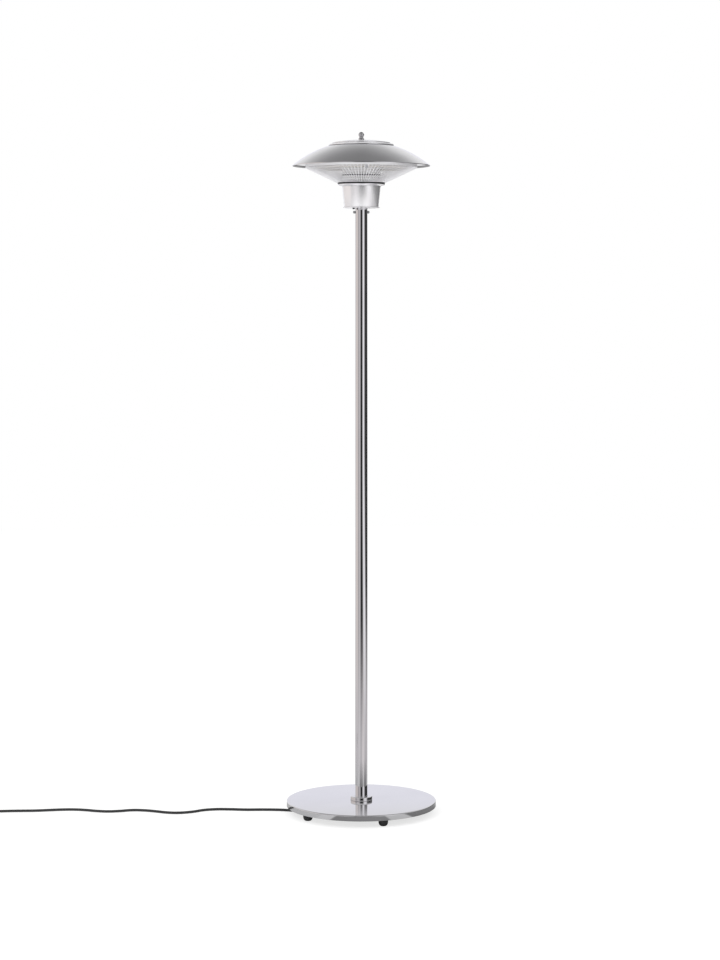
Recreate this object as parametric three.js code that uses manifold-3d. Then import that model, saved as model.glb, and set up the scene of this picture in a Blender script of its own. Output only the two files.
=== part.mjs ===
// Free-standing electric infrared patio heater: a mushroom head on a straight pole and a disc base.
// Millimetres. +Z is up, the origin is on the floor under the middle of the base, the front is -Y.

import * as THREE from 'three';
import { mergeVertices } from 'three/addons/utils/BufferGeometryUtils.js';
import Module from 'manifold-3d';

const wasm = await Module();
wasm.setup();

// ---------------------------------------------------------------- fits

const seatGap = 0.3; // between two faces that rest on each other
const slipGap = 0.4; // all round a part that slides into another
const threadGap = 0.3; // all round a screw in its hole
const past = 1; // how far a cutter reaches beyond the solid it cuts

// How many flat sides stand for a round one.
const sides = {
  disc: 48, shade: 40, head: 32, tube: 28, foot: 12, hole: 10, screw: 8, cord: 8, coil: 6,
};

// ---------------------------------------------------------------- base

const baseRadius = 230;
const coverSheet = 1.2;
const coverEdgeRound = 2.5;
const weightThickness = 16;
const weightEdgeGap = 0.6;
const cableHoleRadius = 22;

const footCount = 5;
const footRadius = 14.5;
const footHeight = 20.2;
const footSoleRadius = 9;
const footTaperRadius = 12.8;
const footTaperHeight = 4.5;
const footShoulderHeight = 11;
const footInset = 27; // from the disc's edge to a foot's middle
const firstFootAngle = -71;
const footScrewRadius = 2.5;
const footScrewHeadRadius = 4.6;
const footScrewHeadHeight = 3.4;
const footScrewRecess = 9;
const footScrewGrip = 11;

const poleFootRadius = 32;
const poleFootFlange = 4;
const poleFootSpigot = 56;
const poleFootBore = 11;
const poleFootScrewCount = 3;
const poleFootScrewCircle = 25.5;
const poleFootScrewRadius = 3;
const poleFootScrewHeadRadius = 5;
const poleFootScrewHeadHeight = 3.8;
const poleFootScrewGrip = 13;

const collarRadius = 34;
const collarHeight = 12;
const collarSheet = 1.2;

// ---------------------------------------------------------------- pole

const poleRadius = 19;
const poleWall = 1.2;
const poleLength = 1822.6;
const poleScrewRadius = 2.5;
const poleScrewHeadRadius = 4.3;
const poleScrewHeadHeight = 6;
const poleScrewTaperHeight = 3;
const poleScrewTopRadius = 3;
const poleScrewReach = 7;
const poleScrewDrop = 13;

// ---------------------------------------------------------------- cup under the head

const cupPlateRadius = 56.5;
const cupPlateThickness = 3;
const cupBottomRadius = 53;
const cupTopRadius = 60;
const cupHeight = 63.4;
const cupWall = 1.5;
const cupBoltRadius = 2.5;
const cupBoltHeadRadius = 4.6;
const cupBoltHeadHeight = 2.4;
const cupBoltCircle = 45;
const cupBoltGrip = 4;

const mountFlangeRadius = 36;
const mountFlange = 4;
const mountBore = 10;
const mountSpigot = 34;

const buttonRadius = 3.5;
const buttonReach = 4.5;
const buttonTravel = 2.5;
const buttonCollarRadius = 5;
const buttonCollarHeight = 2.2;
const buttonStem = 6;
const buttonChamfer = 0.8;
const buttonPlace = { x: -23.5, y: -18 };
const switchRadius = 8;
const switchHeight = 22;

const terminalBlockSize = { x: 24, y: 14, z: 16 };
const terminalBlockY = 24;
const cableDrop = 16; // straight below the terminal block, before the cable slants to the pole

// ---------------------------------------------------------------- head

const headPlateRadius = 73;
const headPlateThickness = 6.5;
const headPlateRim = 2;
const gasketThickness = 4;
const gasketWidth = 11;

const pedestalRadius = 60;
const pedestalHeight = 25.4;
const pedestalSheet = 1.2;
const drumSealThickness = 4;
const drumSealWidth = 10;
const drumRadius = 60;
const drumWall = 1.2;
const drumHeight = 96.4;
const drumFlangeLap = 14; // how far the flange reaches under the shade

const shadeRadius = 213;
const shadeCurve = 336; // radius of the sphere that the shade's outside is part of
const shadeSheet = 1.2;
const shadeVentLand = 4; // between the shade's vent and the spacers on it
const shadeBead = 1.6;

const reflectorRadius = 176;
const reflectorSheet = 1;
const reflectorSkirt = 16;

const grilleRimRadius = 174;
const grilleBandHeight = 10;
const grilleBandSheet = 1.6;
const grilleWire = 2;
const grilleBarCount = 28;
const grilleHoopRadii = [106, 140];
const grilleFootWidth = 5;

const lampRingRadius = 140;
const lampTubeRadius = 6;
const lampBelowBand = 13;
const lampEndSpacing = 36;
const lampEndBend = 20;
const lampBendSteps = 3;
const lampRingSteps = 16;
const lampEndReach = 16; // from the drum's wall to the lamp's ends
const lampHolderRadius = 9.5;
const lampHolderLength = 24;
const lampClipAngles = [-84, 12, 168];
const lampClipThickness = 2;
const lampClipWidth = 18;
const lampClipSlip = 1; // all round the lamp
const lampClipGap = 0.7; // the reflector's flat sides hang a little below its true curve
const lampLeadRadius = 1.25;
const lampLeadSpacing = 10;
const lampLeadStraight = 38; // how far a lead rises before it starts to lean
const lampLeadTurnIn = 12;
const lampLeadBend = 8;
const lampLeadBendSteps = 4;

const capGap = 3; // between the shade and the cap's tray
const traySheet = 1.2;
const trayLip = 11.5; // how far the tray slopes on either side of the dome's edge
const spacerCount = 4;
const spacerInset = 4.5; // from the dome's edge to the spacers' middle line
const spacerWidth = 17;
const spacerDepth = 10;
const capDomeRadius = 89.5;
const capDomeCurve = 480;
const capDomeSheet = 1.2;
const capDomeWall = 2.2;

const tieRodRadius = 4;
const tieRodNutRadius = 7.5;
const tieRodNutHeight = 6.5;
const tieRodTail = 4;
const finialFootRadius = 9;
const finialNeckRadius = 6.3;
const finialBallRadius = 8.8;
const finialFootHeight = 3.8;
const finialTaperHeight = 6.6;
const finialNeckHeight = 9.5;
const finialThread = 14;
const finialBallSteps = 5;

// ---------------------------------------------------------------- mains cord

const cordRadius = 4;
const cordBend = 32;
const cableBendSteps = 6;
const cordFloorGap = 0.05;
const cordStraight = 18; // at each end of the loose run
const cordRunSteps = 48;
const cordLevelStretch = 8;
const cordFallStretch = 80;
const clampSize = { x: 20, y: 26 };
const clampFloorGap = 6;
const clampPlaceX = -46;
const clampScrewRadius = 1.75;
const clampScrewHeadRadius = 3.4;
const clampScrewHeadHeight = 2.6;
const clampScrewY = 9;
const clampScrewGrip = 9;
const cordExitHeight = 12;
const reliefLength = 34;
const reliefRadius = 7.5;
const reliefTipRadius = 5;
const reliefCollar = 5;

// The loose cord's middle line on the floor from the strain relief to the coil, as [x, y].
const cordRoute = [
  [-170, -2], [-212, 0], [-247, 8], [-301, 12], [-357, 11], [-413, 17], [-449, 17],
  [-486, 6], [-521, -19], [-560, -33], [-595, -30], [-633, -13], [-671, 1], [-709, 4],
  [-745, -8], [-782, -14], [-819, -7], [-857, 7], [-895, 13], [-931, 11], [-968, 4],
  [-1005, -3], [-1042, -5], [-1079, -7], [-1115, -11],
];

const coilTurns = 2.25;
const coilMeanRadius = 45;
const coilInset = 9.6; // how much tighter the coil's middle turn is than its outer ones
const coilLayer = 8.7;
const coilCentre = { x: -1168, y: -61.5 };
const coilExit = 22;
const coilClimbTurns = 0.5; // over which the cord climbs from the lower layer to the upper one
const coilLiftTurns = 0.3; // over which its end climbs to the plug's height
const coilStepsPerTurn = 24;

const plugRadius = 19;
const plugBodyLength = 37;
const plugShoulders = [[11.8, 0], [16.7, 13], [plugRadius, 26]]; // [radius, how far into the body]
const plugNeckLength = 33;
const plugNeckRadius = 5;
const plugNeckFlare = 2;
const plugPinRadius = 2.4;
const plugPinLength = 19;
const plugPinSpacing = 19;

// ---------------------------------------------------------------- heights above the floor

const weightBottom = footHeight + seatGap;
const weightTop = weightBottom + weightThickness;
const coverTop = weightTop + seatGap + coverSheet;
const poleFootBottom = coverTop + seatGap;
const poleBottom = poleFootBottom + poleFootFlange + seatGap;
const headBottom = poleBottom + poleLength + seatGap;

// ---------------------------------------------------------------- radii that follow others

const footCircleRadius = baseRadius - footInset;
const trayRadius = capDomeRadius + trayLip;
const trayFlatRadius = capDomeRadius - trayLip;
const spacerCircle = capDomeRadius - spacerInset;
const shadeVentRadius = spacerCircle - spacerDepth / 2 - shadeVentLand;
const drumFlangeRadius = shadeVentRadius + drumFlangeLap;

// ---------------------------------------------------------------- heights above the cup plate's underside

const cupBottom = cupPlateThickness + seatGap;
const cupTop = cupBottom + cupHeight;
const headPlateBottom = cupTop + seatGap;
const headPlateTop = headPlateBottom + headPlateThickness;
const gasketBottom = headPlateTop + seatGap;
const gasketTop = gasketBottom + gasketThickness;
const pedestalTop = gasketBottom + pedestalHeight;
const drumSealBottom = pedestalTop + seatGap;
const drumBottom = drumSealBottom + drumSealThickness + seatGap;

// The shade, the drum's flange and the reflector are parts of spheres round one middle.
const shadeInside = shadeCurve - shadeSheet;
const drumFlangeOutside = shadeInside - seatGap;
const reflectorOutside = drumFlangeOutside - drumWall - seatGap;
const trayInside = shadeCurve + capGap;
const trayOutside = trayInside + traySheet;
const sphereMiddle = drumBottom + drumHeight - Math.sqrt(drumFlangeOutside ** 2 - drumRadius ** 2);

const skirtBottom = heightOn(reflectorOutside, reflectorRadius) - reflectorSkirt;
const grilleBottom = gasketTop + seatGap;
const grilleTop = skirtBottom - seatGap;
const bandBottom = grilleTop - grilleBandHeight;
const lampPlane = grilleTop - lampBelowBand;
const capDomeBottom = heightOn(trayOutside, capDomeRadius) + seatGap;
const capDomeShoulder = capDomeBottom + capDomeWall;
const capDomeMiddle = capDomeShoulder - Math.sqrt(capDomeCurve ** 2 - capDomeRadius ** 2);
const capApex = capDomeMiddle + capDomeCurve;
const rodHole = tieRodRadius + slipGap;

// ---------------------------------------------------------------- materials

const materials = {
  polished: metal('#c9c9cc', 0.06, 1),
  satin: metal('#b9babd', 0.32, 0.9),
  bright: metal('#dededf', 0.15, 1),
  castIron: metal('#3d3f42', 0.8, 0.3),
  zinc: metal('#a3a6a8', 0.35, 0.9),
  screw: metal('#77787a', 0.3, 1),
  rubber: metal('#141415', 0.7, 0),
  cord: metal('#1a1a1b', 0.55, 0),
  plastic: metal('#1d1d1f', 0.45, 0),
  ceramic: metal('#e6e1d6', 0.5, 0),
  lamp: metal('#d9a15a', 0.1, 0),
  leadSleeve: metal('#e9e7e2', 0.6, 0),
  seal: metal('#1c1c1d', 0.6, 0),
};

function metal(color, roughness, metalness) {
  return new THREE.MeshStandardMaterial({ color, roughness, metalness });
}

// ---------------------------------------------------------------- shapes

function heightOn(sphereRadius, radius) {
  return sphereMiddle + Math.sqrt(sphereRadius ** 2 - radius ** 2);
}

/** A closed solid for manifold-3d from a geometry: only positions, shared corners merged. */
function solidOf(geometry) {
  const bare = geometry.clone();
  bare.deleteAttribute('normal');
  bare.deleteAttribute('uv');
  const merged = mergeVertices(bare, 1e-4);
  const index = merged.index.array;
  const triangles = [];
  for (let i = 0; i < index.length; i += 3) {
    const [a, b, c] = [index[i], index[i + 1], index[i + 2]];
    if (a !== b && b !== c && c !== a) {
      triangles.push(a, b, c);
    }
  }
  const mesh = new wasm.Mesh({
    numProp: 3,
    vertProperties: new Float32Array(merged.attributes.position.array),
    triVerts: new Uint32Array(triangles),
  });
  return new wasm.Manifold(mesh);
}

function geometryOf(solid) {
  const mesh = solid.getMesh();
  const geometry = new THREE.BufferGeometry();
  geometry.setAttribute('position', new THREE.BufferAttribute(mesh.vertProperties, 3));
  geometry.setIndex(new THREE.BufferAttribute(mesh.triVerts, 1));
  geometry.computeVertexNormals();
  return geometry;
}

function cut(geometry, ...cutters) {
  let solid = solidOf(geometry);
  for (const cutter of cutters) {
    solid = solid.subtract(solidOf(cutter));
  }
  return geometryOf(solid);
}

function join(first, ...others) {
  let solid = solidOf(first);
  for (const other of others) {
    solid = solid.add(solidOf(other));
  }
  return geometryOf(solid);
}

function overlapOf(first, second) {
  return geometryOf(solidOf(first).intersect(solidOf(second)));
}

/** A solid turned round Z from an outline of [radius, height] that runs counterclockwise. */
function turned(outline, segments) {
  const points = outline.map(([radius, height]) => new THREE.Vector2(radius, height));
  const onAxis = points[0].x === 0 && points.at(-1).x === 0;
  if (!onAxis) {
    points.push(points[0].clone());
  }
  return new THREE.LatheGeometry(points, segments).rotateX(Math.PI / 2);
}

/** A round bar along Z from low to high. */
function bar(radius, low, high, x, y, segments) {
  const geometry = new THREE.CylinderGeometry(radius, radius, high - low, segments);
  return geometry.rotateX(Math.PI / 2).translate(x, y, (low + high) / 2);
}

/** A tube's outline: a ring of the given radii between two heights. */
function ring(inner, outer, low, high) {
  return [[inner, low], [outer, low], [outer, high], [inner, high]];
}

/** An outline's points on a sphere, from one radius to another. */
function sphereArc(sphereRadius, from, to, steps, middle = sphereMiddle) {
  const points = [];
  for (let i = 0; i <= steps; i += 1) {
    const radius = from + ((to - from) * i) / steps;
    points.push([radius, middle + Math.sqrt(sphereRadius ** 2 - radius ** 2)]);
  }
  return points;
}

/** A curve that passes its stations with one straight step between each and the next. */
class StationCurve extends THREE.Curve {
  constructor(stations) {
    super();
    this.stations = stations;
  }

  getPoint(t, target = new THREE.Vector3()) {
    const place = t * (this.stations.length - 1);
    const i = Math.min(Math.floor(place), this.stations.length - 2);
    return target.lerpVectors(this.stations[i], this.stations[i + 1], place - i);
  }

  getPointAt(u, target) {
    return this.getPoint(u, target);
  }

  getTangentAt(u, target = new THREE.Vector3()) {
    const i = Math.round(u * (this.stations.length - 1));
    const before = this.stations[Math.max(i - 1, 0)];
    const after = this.stations[Math.min(i + 1, this.stations.length - 1)];
    return target.subVectors(after, before).normalize();
  }
}

/** The stations of a line through corners, each corner rounded with the same bend radius. */
function roundedLine(corners, bend, stepsPerBend) {
  const stations = [corners[0]];
  for (let i = 1; i < corners.length - 1; i += 1) {
    const into = new THREE.Vector3().subVectors(corners[i], corners[i - 1]).normalize();
    const out = new THREE.Vector3().subVectors(corners[i + 1], corners[i]).normalize();
    const angle = into.angleTo(out);
    const side = new THREE.Vector3().subVectors(out, into).normalize();
    const middle = corners[i].clone().addScaledVector(side, bend / Math.cos(angle / 2));
    const start = corners[i].clone().addScaledVector(into, -bend * Math.tan(angle / 2));
    const axis = new THREE.Vector3().crossVectors(into, out).normalize();
    for (let step = 0; step <= stepsPerBend; step += 1) {
      const arm = new THREE.Vector3().subVectors(start, middle);
      stations.push(arm.applyAxisAngle(axis, (angle * step) / stepsPerBend).add(middle));
    }
  }
  stations.push(corners.at(-1));
  return stations;
}

/** A solid round tube along a curve. */
function tube(curve, steps, radius, sides) {
  const section = new THREE.Shape();
  for (let i = 0; i < sides; i += 1) {
    const angle = (2 * Math.PI * i) / sides;
    const corner = [radius * Math.cos(angle), radius * Math.sin(angle)];
    if (i === 0) {
      section.moveTo(...corner);
    } else {
      section.lineTo(...corner);
    }
  }
  section.closePath();
  const options = { steps, bevelEnabled: false, extrudePath: curve, curveSegments: 1 };
  return new THREE.ExtrudeGeometry(section, options);
}

function stationTube(stations, radius, sides) {
  return tube(new StationCurve(stations), stations.length - 1, radius, sides);
}

function piece(name, geometry, material, parent) {
  const mesh = new THREE.Mesh(geometry, material);
  mesh.name = name;
  parent.add(mesh);
  return mesh;
}

function radians(degrees) {
  return THREE.MathUtils.degToRad(degrees);
}

function onCircle(radius, degrees) {
  return { x: radius * Math.cos(radians(degrees)), y: radius * Math.sin(radians(degrees)) };
}

// ---------------------------------------------------------------- base

const heater = new THREE.Group();
const base = new THREE.Group();
heater.add(base);

const footPlaces = Array.from({ length: footCount }, (_, i) =>
  onCircle(footCircleRadius, firstFootAngle + (360 * i) / footCount));
const poleFootScrewPlaces = Array.from({ length: poleFootScrewCount }, (_, i) =>
  onCircle(poleFootScrewCircle, 90 + (360 * i) / poleFootScrewCount));

function makeBaseCover() {
  const skirtInside = baseRadius - coverSheet;
  const roundMiddle = baseRadius - coverEdgeRound;
  const half = Math.SQRT1_2 * coverEdgeRound;
  const outline = [
    [cableHoleRadius, coverTop - coverSheet],
    [skirtInside, coverTop - coverSheet],
    [skirtInside, weightBottom],
    [baseRadius, weightBottom],
    [baseRadius, coverTop - coverEdgeRound],
    [roundMiddle + half, coverTop - coverEdgeRound + half],
    [roundMiddle, coverTop],
    [cableHoleRadius, coverTop],
  ];
  const holes = poleFootScrewPlaces.map(({ x, y }) =>
    bar(poleFootScrewRadius + threadGap, weightTop, coverTop + past, x, y, sides.hole));
  piece('base_cover', cut(turned(outline, sides.disc), ...holes), materials.polished, base);
}

function makeBaseWeight() {
  const radius = baseRadius - coverSheet - weightEdgeGap;
  const blank = turned(ring(cableHoleRadius, radius, weightBottom, weightTop), sides.disc);
  const below = weightBottom - past;
  const footHoleTop = weightBottom + footScrewGrip + threadGap;
  const footHoles = footPlaces.map(({ x, y }) =>
    bar(footScrewRadius + threadGap, below, footHoleTop, x, y, sides.screw));
  const poleFootHoleBottom = weightTop - poleFootScrewGrip - threadGap;
  const poleFootHoles = poleFootScrewPlaces.map(({ x, y }) =>
    bar(poleFootScrewRadius + threadGap, poleFootHoleBottom, weightTop + past, x, y, sides.hole));
  const clampHoleTop = weightBottom + clampScrewGrip + threadGap;
  const clampHoleRadius = clampScrewRadius + threadGap;
  const clampHole = bar(
    clampHoleRadius, below, clampHoleTop, clampPlaceX, clampScrewY, sides.hole);
  const solid = cut(blank, ...footHoles, ...poleFootHoles, clampHole);
  piece('base_weight', solid, materials.castIron, base);
}

function makeFeet() {
  const holeRadius = footScrewRadius + threadGap;
  const recessRadius = footScrewHeadRadius + threadGap;
  const footOutline = [
    [recessRadius, 0],
    [footSoleRadius, 0],
    [footTaperRadius, footTaperHeight],
    [footRadius, footShoulderHeight],
    [footRadius, footHeight],
    [holeRadius, footHeight],
    [holeRadius, footScrewRecess],
    [recessRadius, footScrewRecess],
  ];
  const headTop = footScrewRecess - seatGap;
  const screwOutline = [
    [0, headTop - footScrewHeadHeight],
    [footScrewHeadRadius, headTop - footScrewHeadHeight],
    [footScrewHeadRadius, headTop],
    [footScrewRadius, headTop],
    [footScrewRadius, weightBottom + footScrewGrip],
    [0, weightBottom + footScrewGrip],
  ];
  footPlaces.forEach(({ x, y }, i) => {
    const foot = piece(`foot_${i + 1}`, turned(footOutline, sides.foot), materials.rubber, base);
    foot.position.set(x, y, 0);
    const screw = piece(`foot_screw_${i + 1}`, turned(screwOutline, sides.screw), materials.zinc, base);
    screw.position.set(x, y, 0);
  });
}

function makePoleFoot() {
  const flangeTop = poleFootBottom + poleFootFlange;
  const spigotRadius = poleRadius - poleWall - slipGap;
  const outline = [
    [poleFootBore, poleFootBottom],
    [poleFootRadius, poleFootBottom],
    [poleFootRadius, flangeTop],
    [spigotRadius, flangeTop],
    [spigotRadius, flangeTop + poleFootSpigot],
    [poleFootBore, flangeTop + poleFootSpigot],
  ];
  const holes = poleFootScrewPlaces.map(({ x, y }) =>
    bar(poleFootScrewRadius + threadGap, poleFootBottom - past, flangeTop + past, x, y, sides.hole));
  piece('pole_foot', cut(turned(outline, sides.tube), ...holes), materials.zinc, base);

  const headBottomHeight = flangeTop + seatGap;
  const screwOutline = [
    [0, weightTop - poleFootScrewGrip],
    [poleFootScrewRadius, weightTop - poleFootScrewGrip],
    [poleFootScrewRadius, headBottomHeight],
    [poleFootScrewHeadRadius, headBottomHeight],
    [poleFootScrewHeadRadius, headBottomHeight + poleFootScrewHeadHeight],
    [0, headBottomHeight + poleFootScrewHeadHeight],
  ];
  poleFootScrewPlaces.forEach(({ x, y }, i) => {
    const name = `pole_foot_screw_${i + 1}`;
    piece(name, turned(screwOutline, sides.screw), materials.zinc, base).position.set(x, y, 0);
  });
}

function makeCollar() {
  const bottom = coverTop + seatGap;
  const top = coverTop + collarHeight;
  const holeRadius = poleRadius + slipGap;
  const outline = [
    [collarRadius - collarSheet, bottom],
    [collarRadius, bottom],
    [collarRadius, top - collarSheet],
    [collarRadius - collarSheet, top],
    [holeRadius, top],
    [holeRadius, top - collarSheet],
    [collarRadius - collarSheet, top - collarSheet],
  ];
  piece('base_collar', turned(outline, sides.tube), materials.polished, base);
}

function makeCordClamp() {
  const bottom = clampFloorGap;
  const height = footHeight - bottom;
  const block = new THREE.BoxGeometry(clampSize.x, clampSize.y, height);
  block.translate(clampPlaceX, 0, bottom + height / 2);
  const bore = bar(cordRadius + threadGap, -clampSize.x, clampSize.x, 0, 0, sides.hole);
  bore.rotateY(Math.PI / 2).translate(clampPlaceX, 0, cordExitHeight);
  const holeRadius = clampScrewRadius + threadGap;
  const screwHole = bar(
    holeRadius, bottom - past, footHeight + past, clampPlaceX, clampScrewY, sides.hole);
  piece('cord_clamp', cut(block, bore, screwHole), materials.plastic, base);

  const headTop = bottom - seatGap;
  const screwOutline = [
    [0, headTop - clampScrewHeadHeight],
    [clampScrewHeadRadius, headTop - clampScrewHeadHeight],
    [clampScrewHeadRadius, headTop],
    [clampScrewRadius, headTop],
    [clampScrewRadius, weightBottom + clampScrewGrip],
    [0, weightBottom + clampScrewGrip],
  ];
  const screw = piece('cord_clamp_screw', turned(screwOutline, sides.screw), materials.zinc, base);
  screw.position.set(clampPlaceX, clampScrewY, 0);

  const reliefOutline = [
    [0, 0],
    [reliefRadius, 0],
    [reliefRadius, reliefCollar],
    [reliefTipRadius, reliefLength],
    [0, reliefLength],
  ];
  const relief = piece('strain_relief', turned(reliefOutline, sides.hole), materials.cord, base);
  relief.rotation.y = -Math.PI / 2;
  relief.position.set(clampPlaceX - clampSize.x / 2 - seatGap, 0, cordExitHeight);
}

// ---------------------------------------------------------------- pole

function makePole() {
  const top = poleBottom + poleLength;
  const blank = turned(ring(poleRadius - poleWall, poleRadius, poleBottom, top), sides.tube);
  const reach = poleRadius + past;
  const hole = bar(poleScrewRadius + threadGap, -reach, reach, 0, 0, sides.hole);
  hole.rotateY(Math.PI / 2).translate(0, 0, headBottom - poleScrewDrop);
  piece('pole', cut(blank, hole), materials.polished, heater);
}

// ---------------------------------------------------------------- cup

const head = new THREE.Group();
head.position.z = headBottom;
heater.add(head);

const cupBoltPlaces = [onCircle(cupBoltCircle, 0), onCircle(cupBoltCircle, 180)];
const leadPlaces = [lampLeadSpacing / 2, -lampLeadSpacing / 2];

function makeCup() {
  const blank = turned(ring(poleRadius - poleWall, cupPlateRadius, 0, cupPlateThickness), sides.head);
  const boltHeadHole = [
    [0, -past],
    [cupBoltHeadRadius + threadGap, -past],
    [cupBoltHeadRadius + threadGap, threadGap],
    [cupBoltRadius + threadGap, cupBoltHeadHeight + threadGap],
    [cupBoltRadius + threadGap, cupPlateThickness + past],
    [0, cupPlateThickness + past],
  ];
  const boltHoles = cupBoltPlaces.map(({ x, y }) =>
    turned(boltHeadHole, sides.hole).translate(x, y, 0));
  const buttonHole = bar(
    buttonRadius + slipGap, -past, cupPlateThickness + past, buttonPlace.x, buttonPlace.y, sides.foot);
  piece('cup_base_plate', cut(blank, ...boltHoles, buttonHole), materials.satin, head);

  const wall = [
    [cupBottomRadius - cupWall, cupBottom],
    [cupBottomRadius, cupBottom],
    [cupTopRadius, cupTop],
    [cupTopRadius - cupWall, cupTop],
  ];
  piece('cup_housing', turned(wall, sides.head), materials.satin, head);

  const boltOutline = [
    [0, threadGap],
    [cupBoltHeadRadius, threadGap],
    [cupBoltRadius, threadGap + cupBoltHeadHeight],
    [cupBoltRadius, headPlateBottom + cupBoltGrip],
    [0, headPlateBottom + cupBoltGrip],
  ];
  cupBoltPlaces.forEach(({ x, y }, i) => {
    const bolt = piece(`cup_bolt_${i + 1}`, turned(boltOutline, sides.screw), materials.zinc, head);
    bolt.position.set(x, y, 0);
  });
}

function makeHeadMount() {
  const spigotRadius = poleRadius - poleWall - slipGap;
  const flangeTop = cupBottom + mountFlange;
  const outline = [
    [mountBore, -mountSpigot],
    [spigotRadius, -mountSpigot],
    [spigotRadius, cupBottom],
    [mountFlangeRadius, cupBottom],
    [mountFlangeRadius, flangeTop],
    [mountBore, flangeTop],
  ];
  const reach = poleRadius;
  const screwHole = bar(poleScrewRadius + threadGap, -reach, reach, 0, 0, sides.hole);
  screwHole.rotateY(Math.PI / 2).translate(0, 0, -poleScrewDrop);
  const notchRadius = switchRadius + slipGap;
  const notch = bar(
    notchRadius, cupBottom - past, flangeTop + past, buttonPlace.x, buttonPlace.y, sides.foot);
  const solid = cut(turned(outline, sides.tube), screwHole, notch);
  piece('head_mount', solid, materials.zinc, head);

  const headSeat = poleRadius + seatGap;
  const screwOutline = [
    [0, headSeat - poleScrewReach],
    [poleScrewRadius, headSeat - poleScrewReach],
    [poleScrewRadius, headSeat],
    [poleScrewHeadRadius, headSeat],
    [poleScrewHeadRadius, headSeat + poleScrewTaperHeight],
    [poleScrewTopRadius, headSeat + poleScrewHeadHeight],
    [0, headSeat + poleScrewHeadHeight],
  ];
  for (const [name, side] of [['pole_screw_right', 1], ['pole_screw_left', -1]]) {
    const screw = piece(name, turned(screwOutline, sides.hole), materials.screw, head);
    screw.rotation.y = (side * Math.PI) / 2;
    screw.position.z = -poleScrewDrop;
  }
}

function makeSwitch() {
  const collarRoom = cupBottom + buttonCollarHeight + buttonTravel + slipGap;
  const stemTop = cupBottom + buttonCollarHeight + buttonStem;
  const stemRoom = stemTop + buttonTravel + slipGap;
  const bodyOutline = [
    [0, stemRoom],
    [buttonRadius + slipGap, stemRoom],
    [buttonRadius + slipGap, collarRoom],
    [buttonCollarRadius + slipGap, collarRoom],
    [buttonCollarRadius + slipGap, cupBottom],
    [switchRadius, cupBottom],
    [switchRadius, cupBottom + switchHeight],
    [0, cupBottom + switchHeight],
  ];
  const body = piece('switch_body', turned(bodyOutline, sides.foot), materials.plastic, head);
  body.position.set(buttonPlace.x, buttonPlace.y, 0);

  const buttonOutline = [
    [0, -buttonReach],
    [buttonRadius - buttonChamfer, -buttonReach],
    [buttonRadius, -buttonReach + buttonChamfer],
    [buttonRadius, cupBottom],
    [buttonCollarRadius, cupBottom],
    [buttonCollarRadius, cupBottom + buttonCollarHeight],
    [buttonRadius, cupBottom + buttonCollarHeight],
    [buttonRadius, stemTop],
    [0, stemTop],
  ];
  const button = piece('push_button', turned(buttonOutline, sides.foot), materials.plastic, head);
  button.position.set(buttonPlace.x, buttonPlace.y, 0);
}

function makeTerminalBlock() {
  const { x, y, z } = terminalBlockSize;
  const block = new THREE.BoxGeometry(x, y, z);
  const mesh = piece('terminal_block', block, materials.ceramic, head);
  mesh.position.set(0, terminalBlockY, cupTop - z / 2);
}

function makeMainsCable() {
  const blockBottom = cupTop - terminalBlockSize.z;
  const blockBottomWorld = headBottom + blockBottom - seatGap;
  const mountTopWorld = headBottom + cupBottom + mountFlange;
  const clampOuterFace = clampPlaceX - clampSize.x / 2;
  const corners = [
    new THREE.Vector3(0, terminalBlockY, blockBottomWorld),
    new THREE.Vector3(0, terminalBlockY, blockBottomWorld - cableDrop),
    new THREE.Vector3(0, 0, mountTopWorld + cordRadius),
    new THREE.Vector3(0, 0, cordExitHeight),
    new THREE.Vector3(clampOuterFace, 0, cordExitHeight),
  ];
  const stations = roundedLine(corners, cordBend, cableBendSteps);
  piece('mains_cable', stationTube(stations, cordRadius, sides.cord), materials.cord, heater);
}

// ---------------------------------------------------------------- head

function makeHeadPlate() {
  const outline = [
    [0, headPlateBottom],
    [cupTopRadius, headPlateBottom],
    [headPlateRadius, headPlateTop - headPlateRim],
    [headPlateRadius, headPlateTop],
    [0, headPlateTop],
  ];
  const low = headPlateBottom - past;
  const high = headPlateTop + past;
  const boltHoleTop = headPlateBottom + cupBoltGrip + threadGap;
  const holes = [
    bar(rodHole, low, high, 0, 0, sides.foot),
    ...cupBoltPlaces.map(({ x, y }) =>
      bar(cupBoltRadius + threadGap, low, boltHoleTop, x, y, sides.screw)),
    ...leadPlaces.map((x) => bar(lampLeadRadius + slipGap, low, high, x, terminalBlockY, sides.screw)),
  ];
  piece('head_plate', cut(turned(outline, sides.head), ...holes), materials.satin, head);

  const gasket = ring(headPlateRadius - gasketWidth, headPlateRadius, gasketBottom, gasketTop);
  piece('gasket', turned(gasket, sides.head), materials.seal, head);

  const nutTop = headPlateBottom - seatGap;
  const nutBottom = nutTop - tieRodNutHeight;
  const hexagon = bar(tieRodNutRadius, nutBottom, nutTop, 0, 0, 6);
  const thread = bar(tieRodRadius + threadGap, nutBottom - past, nutTop + past, 0, 0, sides.foot);
  piece('tie_rod_nut', cut(hexagon, thread), materials.zinc, head);
}

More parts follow.
